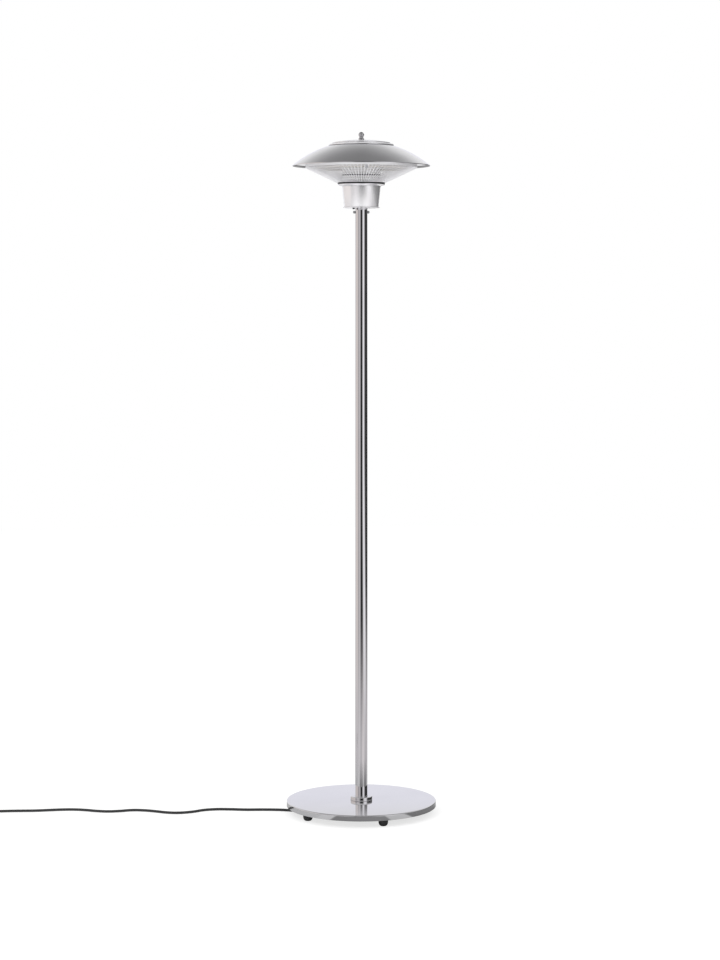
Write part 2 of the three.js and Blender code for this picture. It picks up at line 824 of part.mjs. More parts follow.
function makePedestal() {
  const inside = pedestalRadius - pedestalSheet;
  const underTop = pedestalTop - pedestalSheet;
  const outline = [
    [0, underTop],
    [inside, underTop],
    [inside, gasketBottom],
    [pedestalRadius, gasketBottom],
    [pedestalRadius, pedestalTop],
    [0, pedestalTop],
  ];
  const low = underTop - past;
  const high = pedestalTop + past;
  const holes = [
    bar(rodHole, low, high, 0, 0, sides.foot),
    ...leadPlaces.map((x) => bar(lampLeadRadius + slipGap, low, high, x, terminalBlockY, sides.screw)),
  ];
  piece('pedestal', cut(turned(outline, sides.head), ...holes), materials.bright, head);

  const seal = ring(
    drumRadius - drumSealWidth, drumRadius, drumSealBottom, drumSealBottom + drumSealThickness);
  piece('drum_seal', turned(seal, sides.head), materials.seal, head);
}

const lampEndX = lampEndSpacing / 2;

function makeDrum() {
  const inside = drumRadius - drumWall;
  const flangeInside = drumFlangeOutside - drumWall;
  const flangeMiddle = (drumRadius + drumFlangeRadius) / 2;
  const outline = [
    [inside, drumBottom],
    [drumRadius, drumBottom],
    [drumRadius, heightOn(flangeInside, drumRadius)],
    ...sphereArc(flangeInside, flangeMiddle, drumFlangeRadius, 1),
    ...sphereArc(drumFlangeOutside, drumFlangeRadius, inside, 2),
  ];
  const leadHoles = [lampEndX, -lampEndX].map((x) => {
    const hole = bar(lampLeadRadius + slipGap, 0, drumRadius + past, 0, 0, sides.screw);
    return hole.rotateX(-Math.PI / 2).translate(x, 0, lampPlane);
  });
  piece('reflector_drum', cut(turned(outline, sides.head), ...leadHoles), materials.bright, head);
}

function makeHeatReflector() {
  const inner = drumRadius + slipGap;
  const skirtInside = reflectorRadius - reflectorSheet;
  const reflectorInside = reflectorOutside - reflectorSheet;
  const outline = [
    ...sphereArc(reflectorInside, inner, skirtInside, 4),
    [skirtInside, skirtBottom],
    [reflectorRadius, skirtBottom],
    ...sphereArc(reflectorOutside, reflectorRadius, inner, 4),
  ];
  piece('heat_reflector', turned(outline, sides.shade), materials.bright, head);
}

function grilleHeight(radius) {
  const run = grilleRimRadius - headPlateRadius;
  return grilleBottom + ((radius - headPlateRadius) * (bandBottom - grilleBottom)) / run;
}

/** The four corners of the opening between two bars and two hoops. */
function grilleOpening(inner, outer, middleAngle) {
  const pitch = Math.PI / grilleBarCount;
  const corner = (radius, side) => {
    const angle = middleAngle + side * (pitch - Math.asin(grilleWire / 2 / radius));
    return new THREE.Vector2(radius * Math.cos(angle), radius * Math.sin(angle));
  };
  return new THREE.Path([corner(inner, -1), corner(inner, 1), corner(outer, 1), corner(outer, -1)]);
}

/** A flat ring with openings, drawn up into a cone, and an upright band round its top. */
function makeGrille() {
  const footInside = headPlateRadius - grilleFootWidth;
  const coneRadius = grilleRimRadius - grilleBandSheet / 2;
  const flat = new THREE.Shape();
  flat.absarc(0, 0, coneRadius, 0, 2 * Math.PI, false);
  const middle = new THREE.Path();
  middle.absarc(0, 0, footInside, 0, 2 * Math.PI, true);
  flat.holes.push(middle);
  const edges = [headPlateRadius, ...grilleHoopRadii, coneRadius];
  for (let row = 0; row < edges.length - 1; row += 1) {
    const inner = edges[row] + (row === 0 ? 0 : grilleWire / 2);
    const outer = edges[row + 1] - (row === edges.length - 2 ? grilleWire : grilleWire / 2);
    for (let i = 0; i < grilleBarCount; i += 1) {
      flat.holes.push(grilleOpening(inner, outer, (2 * Math.PI * i) / grilleBarCount));
    }
  }
  const options = { depth: grilleWire, bevelEnabled: false, curveSegments: grilleBarCount };
  const cone = new THREE.ExtrudeGeometry(flat, options);
  const place = cone.attributes.position;
  for (let i = 0; i < place.count; i += 1) {
    const radius = Math.hypot(place.getX(i), place.getY(i));
    place.setZ(i, place.getZ(i) + grilleHeight(Math.max(radius, headPlateRadius)));
  }
  const band = ring(grilleRimRadius - grilleBandSheet, grilleRimRadius, bandBottom, grilleTop);
  piece('grille', join(cone, turned(band, grilleBarCount)), materials.zinc, head);
}

/** The lamp's middle line: two straight ends side by side, and a ring that joins them. */
function lampStations() {
  const fromRing = lampRingRadius - lampEndBend;
  const bendX = lampEndX + lampEndBend;
  const bendY = Math.sqrt(fromRing ** 2 - bendX ** 2);
  const joinAngle = Math.atan2(bendY, bendX);
  const endY = drumRadius + lampEndReach;
  const half = [new THREE.Vector3(lampEndX, endY, lampPlane)];
  for (let i = 0; i <= lampBendSteps; i += 1) {
    const angle = Math.PI - ((Math.PI - joinAngle) * i) / lampBendSteps;
    const x = bendX + lampEndBend * Math.cos(angle);
    half.push(new THREE.Vector3(x, bendY + lampEndBend * Math.sin(angle), lampPlane));
  }
  for (let i = 1; i <= lampRingSteps; i += 1) {
    const angle = joinAngle - ((joinAngle + Math.PI / 2) * i) / lampRingSteps;
    const x = lampRingRadius * Math.cos(angle);
    half.push(new THREE.Vector3(x, lampRingRadius * Math.sin(angle), lampPlane));
  }
  const mirrored = half.slice(0, -1).reverse().map(({ x, y, z }) => new THREE.Vector3(-x, y, z));
  return [...half, ...mirrored];
}

function makeLamp() {
  piece('halogen_lamp', stationTube(lampStations(), lampTubeRadius, sides.coil), materials.lamp, head);

  const holderOuter = drumRadius + lampHolderLength;
  const low = lampPlane - drumRadius;
  const high = lampPlane + drumRadius;
  const drumBlock = bar(drumRadius + seatGap, low, high, 0, 0, sides.head);
  [lampEndX, -lampEndX].forEach((x, i) => {
    const body = bar(lampHolderRadius, drumRadius - lampHolderRadius, holderOuter, 0, 0, sides.foot);
    const boreBottom = drumRadius + lampEndReach - seatGap;
    const bore = bar(lampTubeRadius + slipGap, boreBottom, holderOuter + past, 0, 0, sides.foot);
    const holder = cut(body, bore).rotateX(-Math.PI / 2).translate(x, 0, lampPlane);
    piece(`lamp_holder_${i + 1}`, cut(holder, drumBlock), materials.ceramic, head);
  });
}

function makeLampClips() {
  const hang = heightOn(reflectorOutside - reflectorSheet, lampRingRadius + lampClipWidth / 2);
  const top = hang - lampClipGap;
  const holeRadius = lampTubeRadius + lampClipSlip;
  const hole = bar(holeRadius, -lampClipThickness, lampClipThickness, 0, lampPlane, sides.foot);
  const half = lampClipWidth / 2;
  const outline = new THREE.Shape();
  outline.moveTo(-half, top);
  outline.lineTo(-half, lampPlane);
  outline.absarc(0, lampPlane, half, Math.PI, 2 * Math.PI, false);
  outline.lineTo(half, top);
  outline.closePath();
  const options = { depth: lampClipThickness, bevelEnabled: false, curveSegments: 6 };
  const plate = new THREE.ExtrudeGeometry(outline, options).translate(0, 0, -lampClipThickness / 2);
  const clip = cut(plate, hole).rotateX(Math.PI / 2).translate(lampRingRadius, 0, 0);
  lampClipAngles.forEach((angle, i) => {
    const mesh = piece(`lamp_clip_${i + 1}`, clip.clone(), materials.zinc, head);
    mesh.rotation.z = radians(angle);
  });
}

function makeLampLeads() {
  const wallY = Math.sqrt(drumRadius ** 2 - (lampEndX + lampLeadRadius) ** 2) - seatGap;
  [1, -1].forEach((side, i) => {
    const from = (side * lampLeadSpacing) / 2;
    const to = side * lampEndX;
    const corners = [
      new THREE.Vector3(from, terminalBlockY, headPlateBottom),
      new THREE.Vector3(from, terminalBlockY, headPlateBottom + lampLeadStraight),
      new THREE.Vector3(to, terminalBlockY + lampLeadTurnIn, lampPlane),
      new THREE.Vector3(to, wallY, lampPlane),
    ];
    const stations = roundedLine(corners, lampLeadBend, lampLeadBendSteps);
    const lead = stationTube(stations, lampLeadRadius, sides.coil);
    piece(`lamp_lead_${i + 1}`, lead, materials.leadSleeve, head);
  });
}

// ---------------------------------------------------------------- shade and cap

function makeShade() {
  const beadHeight = heightOn(shadeCurve, shadeRadius);
  const outline = [
    ...sphereArc(shadeInside, shadeVentRadius, shadeRadius - shadeBead, 8),
    [shadeRadius - shadeBead, beadHeight - shadeBead],
    [shadeRadius, beadHeight - shadeBead],
    ...sphereArc(shadeCurve, shadeRadius, shadeVentRadius, 6),
  ];
  piece('shade', turned(outline, sides.shade), materials.satin, head);
}

function makeCap() {
  const tray = [
    [rodHole, heightOn(trayInside, trayFlatRadius)],
    ...sphereArc(trayInside, trayFlatRadius, trayRadius, 1),
    ...sphereArc(trayOutside, trayRadius, trayFlatRadius, 1),
    [rodHole, heightOn(trayOutside, trayFlatRadius)],
  ];
  piece('cap_tray', turned(tray, sides.head), materials.satin, head);

  const slack = spacerDepth + spacerWidth;
  const shell = turned([
    ...sphereArc(shadeCurve + seatGap, spacerCircle - slack, spacerCircle + slack, 2),
    ...sphereArc(trayInside - seatGap, spacerCircle + slack, spacerCircle - slack, 2),
  ], sides.shade);
  for (let i = 0; i < spacerCount; i += 1) {
    const block = new THREE.BoxGeometry(spacerDepth, spacerWidth, spacerCircle);
    block.translate(spacerCircle, 0, heightOn(shadeCurve, spacerCircle));
    block.rotateZ(radians(45 + (360 * i) / spacerCount));
    piece(`cap_spacer_${i + 1}`, overlapOf(shell, block), materials.zinc, head);
  }

  const dome = [
    [capDomeRadius - capDomeSheet, capDomeBottom],
    [capDomeRadius, capDomeBottom],
    ...sphereArc(capDomeCurve, capDomeRadius, rodHole, 4, capDomeMiddle),
    ...sphereArc(capDomeCurve - capDomeSheet, rodHole, capDomeRadius - capDomeSheet, 3, capDomeMiddle),
  ];
  piece('top_cap', turned(dome, sides.head), materials.satin, head);
}

function makeTieRod() {
  const nutBottom = headPlateBottom - seatGap - tieRodNutHeight;
  const finialBottom = capApex + seatGap;
  const rodTop = finialBottom + finialThread - threadGap;
  const rod = bar(tieRodRadius, nutBottom - tieRodTail, rodTop, 0, 0, sides.hole);
  piece('tie_rod', rod, materials.zinc, head);

  const neckTop = finialBottom + finialNeckHeight;
  const ballMiddle = neckTop + Math.sqrt(finialBallRadius ** 2 - finialNeckRadius ** 2);
  const startAngle = Math.asin((neckTop - ballMiddle) / finialBallRadius);
  const ball = Array.from({ length: finialBallSteps }, (_, i) => {
    const angle = startAngle + ((Math.PI / 2 - startAngle) * i) / finialBallSteps;
    return [finialBallRadius * Math.cos(angle), ballMiddle + finialBallRadius * Math.sin(angle)];
  });
  const bore = tieRodRadius + threadGap;
  const outline = [
    [0, finialBottom + finialThread],
    [bore, finialBottom + finialThread],
    [bore, finialBottom],
    [finialFootRadius, finialBottom],
    [finialFootRadius, finialBottom + finialFootHeight],
    [finialNeckRadius, finialBottom + finialTaperHeight],
    ...ball,
    [0, ballMiddle + finialBallRadius],
  ];
  piece('cap_nut', turned(outline, sides.foot), materials.polished, head);
}

// ---------------------------------------------------------------- loose cord

const cordGroup = new THREE.Group();
heater.add(cordGroup);

const cordHeight = cordRadius + cordFloorGap;
const coilOuter = coilMeanRadius + coilInset / 2;
const coilTop = coilCentre.y + coilOuter;

/** The cord's run: a spline in plan, which comes down from its exit and then stays on the floor. */
class CordRun extends THREE.CatmullRomCurve3 {
  constructor(points, exitX) {
    super(points, false, 'centripetal');
    this.exitX = exitX;
  }

  getPoint(t, target) {
    const point = super.getPoint(t, target);
    const fallen = ramp(this.exitX - point.x, cordLevelStretch, cordLevelStretch + cordFallStretch);
    point.z = THREE.MathUtils.lerp(cordExitHeight, cordHeight, fallen);
    return point;
  }
}

function makeCordRun() {
  const exitX = clampPlaceX - clampSize.x / 2 - reliefLength - 2 * seatGap;
  const coilStart = coilCentre.x + 2 * cordRadius + seatGap;
  const places = [
    [exitX, 0],
    [exitX - cordStraight, 0],
    ...cordRoute,
    [coilStart + cordStraight, coilTop],
    [coilStart, coilTop],
  ];
  const path = new CordRun(places.map(([x, y]) => new THREE.Vector3(x, y, 0)), exitX);
  piece('cord_run', tube(path, cordRunSteps, cordRadius, sides.cord), materials.cord, cordGroup);
  return path.getLength();
}

/** Height steps smoothly from 0 to 1 while t goes from start to end. */
function ramp(t, start, end) {
  return THREE.MathUtils.smoothstep(t, start, end);
}

/** A point of the coil's middle line: t counts turns, and the last bend lifts to the plug. */
function coilPoint(t) {
  const angle = Math.PI / 2 + 2 * Math.PI * t;
  const middle = coilTurns / 2;
  const radius = coilOuter - coilInset * (1 - Math.abs(t - middle) / middle);
  const climb = coilLayer * ramp(t, middle - coilClimbTurns / 2, middle + coilClimbTurns / 2);
  const lift = (plugRadius - cordRadius - coilLayer) * ramp(t, coilTurns - coilLiftTurns, coilTurns);
  const x = coilCentre.x + radius * Math.cos(angle);
  const y = coilCentre.y + radius * Math.sin(angle);
  return new THREE.Vector3(x, y, cordHeight + climb + lift);
}

function coilStations() {
  const steps = Math.round(coilTurns * coilStepsPerTurn);
  const stations = [];
  const lead = 2 * cordRadius;
  stations.push(new THREE.Vector3(coilCentre.x + lead, coilTop, cordHeight));
  for (let i = 0; i <= steps; i += 1) {
    stations.push(coilPoint((coilTurns * i) / steps));
  }
  const last = stations.at(-1);
  stations.push(new THREE.Vector3(last.x, last.y - coilExit, last.z));
  return stations;
}

/** The coil's least gap between two stretches that lie more than half a turn apart. */
function leastGap(stations) {
  const fine = [];
  const curve = new StationCurve(stations);
  const pointsPerStep = 4;
  const count = (stations.length - 1) * pointsPerStep;
  for (let i = 0; i <= count; i += 1) {
    fine.push(curve.getPoint(i / count));
  }
  let least = Infinity;
  const apart = (coilStepsPerTurn / 2) * pointsPerStep;
  for (let i = 0; i < fine.length; i += 1) {
    for (let j = i + apart; j < fine.length; j += 1) {
      least = Math.min(least, fine[i].distanceTo(fine[j]));
    }
  }
  return least - 2 * cordRadius;
}

function makeCoilAndPlug() {
  const stations = coilStations();
  piece('cord_coil', stationTube(stations, cordRadius, sides.coil), materials.cord, cordGroup);
  const length = new StationCurve(stations).getLength();

  const bodyTop = plugNeckLength + plugBodyLength;
  const outline = [
    [0, 0],
    [plugNeckRadius, 0],
    [plugNeckRadius + plugNeckFlare, plugNeckLength],
    ...plugShoulders.map(([radius, height]) => [radius, plugNeckLength + height]),
    [plugRadius, bodyTop],
    [0, bodyTop],
  ];
  const pins = [1, -1].map((side) => {
    const x = (side * plugPinSpacing) / 2;
    return bar(plugPinRadius, bodyTop - past, bodyTop + plugPinLength, x, 0, sides.screw);
  });
  const solid = join(turned(outline, sides.foot), ...pins);
  const plug = piece('mains_plug', solid, materials.plastic, cordGroup);
  const end = stations.at(-1);
  plug.rotation.x = Math.PI / 2;
  plug.position.set(end.x, end.y - seatGap, end.z);
  return { length, gap: leastGap(stations) };
}

makeBaseCover();
makeBaseWeight();
makeFeet();
makePoleFoot();
makeCollar();
makeCordClamp();
makePole();
makeCup();
makeHeadMount();
makeSwitch();
makeTerminalBlock();
makeMainsCable();
makeHeadPlate();
makePedestal();
makeDrum();
makeHeatReflector();
makeGrille();
makeLamp();
makeLampClips();
makeLampLeads();
makeShade();
makeCap();
makeTieRod();
const runLength = makeCordRun();
const coil = makeCoilAndPlug();

console.log(`coil's least gap to itself: ${coil.gap.toFixed(2)} mm`);
console.log(`loose cord: ${(runLength + coil.length).toFixed(0)} mm`);
console.log(`cord in the coil: ${coil.length.toFixed(0)} mm`);

export default heater;
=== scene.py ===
"""The looks of a free-standing infrared patio heater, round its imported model. Millimetres, unless named."""

import math

import bmesh
import bpy
from mathutils import Matrix, Vector


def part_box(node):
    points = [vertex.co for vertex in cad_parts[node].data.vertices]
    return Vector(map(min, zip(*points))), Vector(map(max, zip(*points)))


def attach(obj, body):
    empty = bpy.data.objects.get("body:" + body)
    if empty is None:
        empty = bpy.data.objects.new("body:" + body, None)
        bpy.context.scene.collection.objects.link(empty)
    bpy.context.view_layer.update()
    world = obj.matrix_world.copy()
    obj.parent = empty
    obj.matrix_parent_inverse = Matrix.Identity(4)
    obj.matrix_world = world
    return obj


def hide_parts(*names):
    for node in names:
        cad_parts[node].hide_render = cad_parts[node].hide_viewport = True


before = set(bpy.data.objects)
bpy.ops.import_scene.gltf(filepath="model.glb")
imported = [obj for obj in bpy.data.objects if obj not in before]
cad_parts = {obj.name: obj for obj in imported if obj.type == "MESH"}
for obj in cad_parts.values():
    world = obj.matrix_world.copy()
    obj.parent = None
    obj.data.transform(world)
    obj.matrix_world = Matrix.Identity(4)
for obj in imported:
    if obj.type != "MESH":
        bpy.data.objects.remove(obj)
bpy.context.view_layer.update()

MM = 0.001
TOWER = "tower"
BUTTON = "button"

ROUND = 160  # sides of a large turned piece
FINE_ROUND = 256  # sides of the base cover and the shade
SMALL_ROUND = 48
CREASE = 32  # degrees between faces, over which an edge stays sharp
SOFT_CREASE = 40
SMALL = {"sides": SMALL_ROUND, "crease": SOFT_CREASE}  # how a small turned piece is made
SHEET = 1.2  # the steel sheets' thickness

# ---- the photograph's view

CAMERA_DISTANCE = 7280
CAMERA_HEIGHT = 1592
CAMERA_X = -4
FOCAL_PIXELS = 2356
FRAME_HEIGHT_PIXELS = 960
EYE_LEVEL_PIXEL = 296.5  # the picture's row at the camera's height
SENSOR_WIDTH = 36

# ---- the cord, as the solids hold it

CORD_RADIUS = 4
CORD_FLOOR_GAP = 0.05
CORD_EXIT_HEIGHT = 12
CORD_STRAIGHT = 18
CORD_LEVEL = 8
CORD_FALL = 80
CORD_ROUTE = [
    (-128, 0), (-148, -1), (-170, -2), (-212, 0), (-247, 8), (-301, 12), (-357, 11), (-413, 17), (-449, 17),
    (-486, 6), (-521, -19), (-560, -33), (-595, -30), (-633, -13), (-671, 1), (-709, 4),
    (-745, -8), (-782, -14), (-819, -7), (-857, 7), (-895, 13), (-931, 11), (-968, 4),
    (-1005, -3), (-1042, -5), (-1079, -7), (-1115, -11),
]
COIL_TURNS = 2.25
COIL_MEAN_RADIUS = 45
COIL_INSET = 9.6
COIL_LAYER = 8.7
COIL_CENTRE = (-1168, -61.5)
COIL_CLIMB_TURNS = 0.5
COIL_LIFT_TURNS = 0.3
COIL_EXIT = 22
COIL_POINTS_PER_TURN = 24
PLUG_RADIUS = 19
TIE_ANGLE = 300  # degrees round the coil
TIE_THICKNESS = 0.8
TIE_WIDTH = 7
TIE_POINTS = 48
TIE_CLEARANCE = 1.1 * TIE_THICKNESS  # the cord's lift over the tie
TIE_SLOPE = (5, 40)  # degrees from the tie, over which the lift ends

# ---- helpers: outlines and meshes


def span(node):
    """A turned node's outer radius, its lowest and its highest height."""
    low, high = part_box(node)
    return high.x / MM, low.z / MM, high.z / MM


def fillet(points, steps=6):
    """A closed outline of (radius, height) or (radius, height, rounding) points, with rounded corners."""
    outline = []
    for i, point in enumerate(points):
        corner = Vector(point[:2])
        rounding = point[2] if len(point) > 2 else 0
        if not rounding:
            outline.append(tuple(corner))
            continue
        before = Vector(points[i - 1][:2]) - corner
        after = Vector(points[(i + 1) % len(points)][:2]) - corner
        half = before.angle(after) / 2
        reach = min(rounding / math.tan(half), 0.49 * before.length, 0.49 * after.length)
        start = corner + before.normalized() * reach
        end = corner + after.normalized() * reach
        middle = corner + (before.normalized() + after.normalized()).normalized() * reach / math.cos(half)
        first = start - middle
        turn = first.angle_signed(end - middle)
        for step in range(steps + 1):
            arm = first.copy()
            arm.rotate(Matrix.Rotation(-turn * step / steps, 2))
            outline.append(tuple(middle + arm))
    return outline


def arc(sphere, middle, start, end, steps):
    """An outline's points on a sphere about the height middle, from one radius to another."""
    radii = [start + (end - start) * i / steps for i in range(steps + 1)]
    return [(radius, middle + math.sqrt(sphere**2 - radius**2)) for radius in radii]


def add_object(name, data):
    """A scene object of a mesh, a curve, a lamp or a camera."""
    made = bpy.data.objects.new(name, data)
    bpy.context.scene.collection.objects.link(made)
    return made


def finish_mesh(name, mesh, crease=CREASE):
    """A scene object of a bmesh, with normals outward and smooth shading up to the crease angle."""
    bmesh.ops.recalc_face_normals(mesh, faces=mesh.faces)
    data = bpy.data.meshes.new(name)
    mesh.to_mesh(data)
    mesh.free()
    data.polygons.foreach_set("use_smooth", [True] * len(data.polygons))
    data.set_sharp_from_angle(angle=math.radians(crease))
    return add_object(name, data)


def add_lathe(mesh, outline, sides, place=None):
    """Turns a closed outline round Z into a bmesh. Points on the axis close it there."""
    place = place or Matrix.Identity(4)
    rings = []
    for radius, height in outline:
        if radius < 1e-6:
            rings.append([mesh.verts.new(place @ Vector((0, 0, height)) * MM)])
            continue
        ring = []
        for i in range(sides):
            angle = 2 * math.pi * i / sides
            point = Vector((radius * math.cos(angle), radius * math.sin(angle), height))
            ring.append(mesh.verts.new(place @ point * MM))
        rings.append(ring)
    for this, following in zip(rings, rings[1:] + rings[:1]):
        if len(this) == 1 and len(following) == 1:
            continue
        for i in range(sides):
            j = (i + 1) % sides
            corners = [this[i % len(this)], this[j % len(this)]]
            corners += [following[j % len(following)], following[i % len(following)]]
            mesh.faces.new(list(dict.fromkeys(corners)))


def skin(mesh, rings):
    """Joins each ring of points to the next."""
    for this, following in zip(rings, rings[1:]):
        for k in range(len(this)):
            j = (k + 1) % len(this)
            mesh.faces.new([this[k], this[j], following[j], following[k]])


def tangent_at(points, i, closed):
    """The direction of a line of points at one of them."""
    if closed:
        before, after = points[i - 1], points[(i + 1) % len(points)]
    else:
        before, after = points[max(i - 1, 0)], points[min(i + 1, len(points) - 1)]
    return (after - before).normalized()


def add_tube(mesh, points, radius, sides, closed=False):
    """A round bar along points into a bmesh, with flat ends or joined to itself."""
    points = [Vector(point) for point in points]
    tangents = [tangent_at(points, i, closed) for i in range(len(points))]
    arms = [on_circle(radius, 360 * k / sides) for k in range(sides)]
    side = tangents[0].orthogonal()
    rings = []
    for point, tangent in zip(points, tangents):
        side = (side - tangent * side.dot(tangent)).normalized()
        across = tangent.cross(side)
        rings.append([mesh.verts.new((point + side * arm.x + across * arm.y) * MM) for arm in arms])
    if closed:
        shift = min(range(sides), key=lambda k: (rings[-1][0].co - rings[0][k].co).length)
        rings.append(rings[0][shift:] + rings[0][:shift])
    else:
        mesh.faces.new(rings[0])
        mesh.faces.new(rings[-1])
    skin(mesh, rings)


def add_strip(mesh, points, breadth, thickness, closed=False):
    """A flat strip along points into a bmesh. The breadth is a vector from edge to edge."""
    rings = []
    for i, point in enumerate(points):
        normal = breadth.cross(tangent_at(points, i, closed)).normalized()
        ring = []
        for side, depth in ((-1, -1), (1, -1), (1, 1), (-1, 1)):
            corner = point + breadth * side / 2 + normal * depth * thickness / 2
            ring.append(mesh.verts.new(corner * MM))
        rings.append(ring)
    if closed:
        rings.append(rings[0])
    else:
        mesh.faces.new(rings[0])
        mesh.faces.new(rings[-1])
    skin(mesh, rings)


def add_block(mesh, size, rounding, place):
    """A block with rounded edges into a bmesh."""
    block = bmesh.new()
    bmesh.ops.create_cube(block, size=1)
    bmesh.ops.scale(block, vec=size, verts=block.verts)
    bmesh.ops.bevel(
        block, geom=block.edges[:], offset=rounding, segments=3, profile=0.5, affect="EDGES")
    corners = {v: mesh.verts.new(place @ v.co * MM) for v in block.verts}
    for face in block.faces:
        mesh.faces.new([corners[v] for v in face.verts])
    block.free()


def cut_with(piece, mesh):
    """Cuts a piece with the solid in a bmesh."""
    cutter = finish_mesh("cutter", mesh)
    change = piece.modifiers.new("cut", "BOOLEAN")
    change.object = cutter
    change.operation = "DIFFERENCE"
    change.solver = "EXACT"
    with bpy.context.temp_override(object=piece, active_object=piece):
        bpy.ops.object.modifier_apply(modifier=change.name)
    bpy.data.objects.remove(cutter)


def turned_to(direction, at):
    """A placement that turns +Z to a direction and moves to a point."""
    turn = Vector((0, 0, 1)).rotation_difference(Vector(direction)).to_matrix().to_4x4()
    return Matrix.Translation(Vector(at)) @ turn


def on_circle(radius, degrees, height=0):
    angle = math.radians(degrees)
    return Vector((radius * math.cos(angle), radius * math.sin(angle), height))


def middle_of(node):
    low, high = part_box(node)
    return (low + high) / 2 / MM


def half_width(node):
    low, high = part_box(node)
    return (high.x - low.x) / 2 / MM


def upright_at(node):
    """A placement on the floor under a node's middle."""
    middle = middle_of(node)
    return Matrix.Translation((middle.x, middle.y, 0))


def dress(piece, finish, *nodes, body=TOWER):
    """Gives a piece its material, hides the nodes that it stands for, and puts it in its body."""
    material, slot = FINISHES[finish]
    piece.data.materials.clear()
    piece.data.materials.append(material)
    if nodes:
        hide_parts(*nodes)
    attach(piece, body)
    return piece


def turned(
        name, outline, finish, *nodes, sides=ROUND, crease=CREASE, place=None, corner_steps=6, body=TOWER):
    """A dressed piece: an outline turned round Z, or round the Z of its placement."""
    mesh = bmesh.new()
    add_lathe(mesh, fillet(outline, corner_steps), sides, place)
    return dress(finish_mesh(name, mesh, crease), finish, *nodes, body=body)


def tube(name, points, radius, sides, finish, *nodes):
    """A dressed round bar along points."""
    mesh = bmesh.new()
    add_tube(mesh, points, radius, sides)
    return dress(finish_mesh(name, mesh, 50), finish, *nodes)


# ---- helpers: materials


class Nodes:
    """A node tree, with short calls to add nodes."""

    def __init__(self, tree):
        self.tree = tree

    def feed(self, socket, value):
        """Gives a socket a value, or links it to another node's output."""
        if isinstance(value, bpy.types.NodeSocket):
            self.tree.links.new(value, socket)
        else:
            socket.default_value = value

    def node(self, kind, sockets=None, **settings):
        """A new node with its settings, and its sockets fed by name or number."""
        node = self.tree.nodes.new(kind)
        for key, value in settings.items():
            setattr(node, key, value)
        for key, value in (sockets or {}).items():
            self.feed(node.inputs[key], value)
        return node

    def math(self, operation, first, second=0.0):
        return self.node("ShaderNodeMath", {0: first, 1: second}, operation=operation).outputs[0]

    def place(self, kind):
        return self.node("ShaderNodeTexCoord").outputs[kind]

    def split(self, place):
        return self.node("ShaderNodeSeparateXYZ", {0: place}).outputs

    def between(self, value, low, high, start=0.3, end=0.7, **settings):
        """Turns a value from start to end into one from low to high."""
        sockets = {"Value": value, "From Min": start, "From Max": end, "To Min": low, "To Max": high}
        return self.node("ShaderNodeMapRange", sockets, **settings).outputs[0]

    def mix(self, share, first, second):
        """Goes from one colour to another by a share."""
        sockets = {"Factor": share, "A": first, "B": second}
        return self.node("ShaderNodeMix", sockets, data_type="RGBA").outputs["Result"]

    def mix_shaders(self, share, first, second):
        return self.node("ShaderNodeMixShader", {0: share, 1: first, 2: second}).outputs[0]

    def ramp(self, stops, value):
        """A colour ramp of (position, grey or colour) stops."""
        node = self.node("ShaderNodeValToRGB", {"Fac": value})
        elements = node.color_ramp.elements
        while len(elements) > 1:
            elements.remove(elements[-1])
        for i, (position, color) in enumerate(stops):
            element = elements[0] if i == 0 else elements.new(position)
            element.position = position
            rgb = color if isinstance(color, tuple) else (color, color, color)
            element.color = (*rgb, 1)
        return node.outputs["Color"]

    def azimuth(self, x, y):
        """The angle from the front towards +X, in radians."""
        return self.math("ARCTAN2", x, self.math("MULTIPLY", y, -1.0))

    def by_azimuth(self, stops, azimuth):
        """A ramp of (degrees from the front towards +X, grey or colour) stops."""
        turn = self.math("ADD", self.math("DIVIDE", azimuth, 2 * math.pi), 0.5)
        return self.ramp([((degrees + 180) / 360, color) for degrees, color in stops], turn)


class Shader(Nodes):
    """A material's nodes, with its Principled shader."""

    def __init__(self, name, color, metallic, roughness):
        self.material = bpy.data.materials.new(name)
        self.material.use_nodes = True
        super().__init__(self.material.node_tree)
        self.base = color
        self.main = self.tree.nodes["Principled BSDF"]
        self.feed_main(("Base Color", (*color, 1)), ("Metallic", metallic), ("Roughness", roughness))
        self.here = self.place("Object")

    def feed_main(self, *pairs):
        for key, value in pairs:
            self.feed(self.main.inputs[key], value)

    def stretched(self, x, y, z):
        """The place on the object, stretched by a factor along each axis."""
        return self.node("ShaderNodeMapping", {"Vector": self.here, "Scale": (x, y, z)}).outputs[0]

    def rings(self):
        """The distance from the Z axis and the height, as a place: marks on it run round the axis."""
        x, y, z = self.split(self.here)
        squares = self.math("ADD", self.math("MULTIPLY", x, x), self.math("MULTIPLY", y, y))
        return self.node("ShaderNodeCombineXYZ", {0: self.math("SQRT", squares), 2: z}).outputs[0]

    def noise(self, scale, detail, place=None):
        sockets = {"Scale": scale, "Detail": detail, "Vector": place or self.here}
        return self.node("ShaderNodeTexNoise", sockets).outputs["Fac"]

    def color(self, value, first, second):
        """Mixes two base colours by a value."""
        self.feed_main(("Base Color", self.mix(value, (*first, 1), (*second, 1))))

    def mottle(self, value, tones):
        """Varies the base colour between two tones by a noise."""
        self.color(self.between(value, 0, 1), *(shade_of(self.base, tone) for tone in tones))

    def roughness(self, value, low, high):
        self.feed_main(("Roughness", self.between(value, low, high)))

    def bump(self, height, distance):
        """Raises the surface by a height value, over a distance in metres."""
        sockets = {"Strength": 1, "Distance": distance, "Height": height}
        self.feed_main(("Normal", self.node("ShaderNodeBump", sockets).outputs["Normal"]))


def shade_of(color, factor):
    return tuple(channel * factor for channel in color)


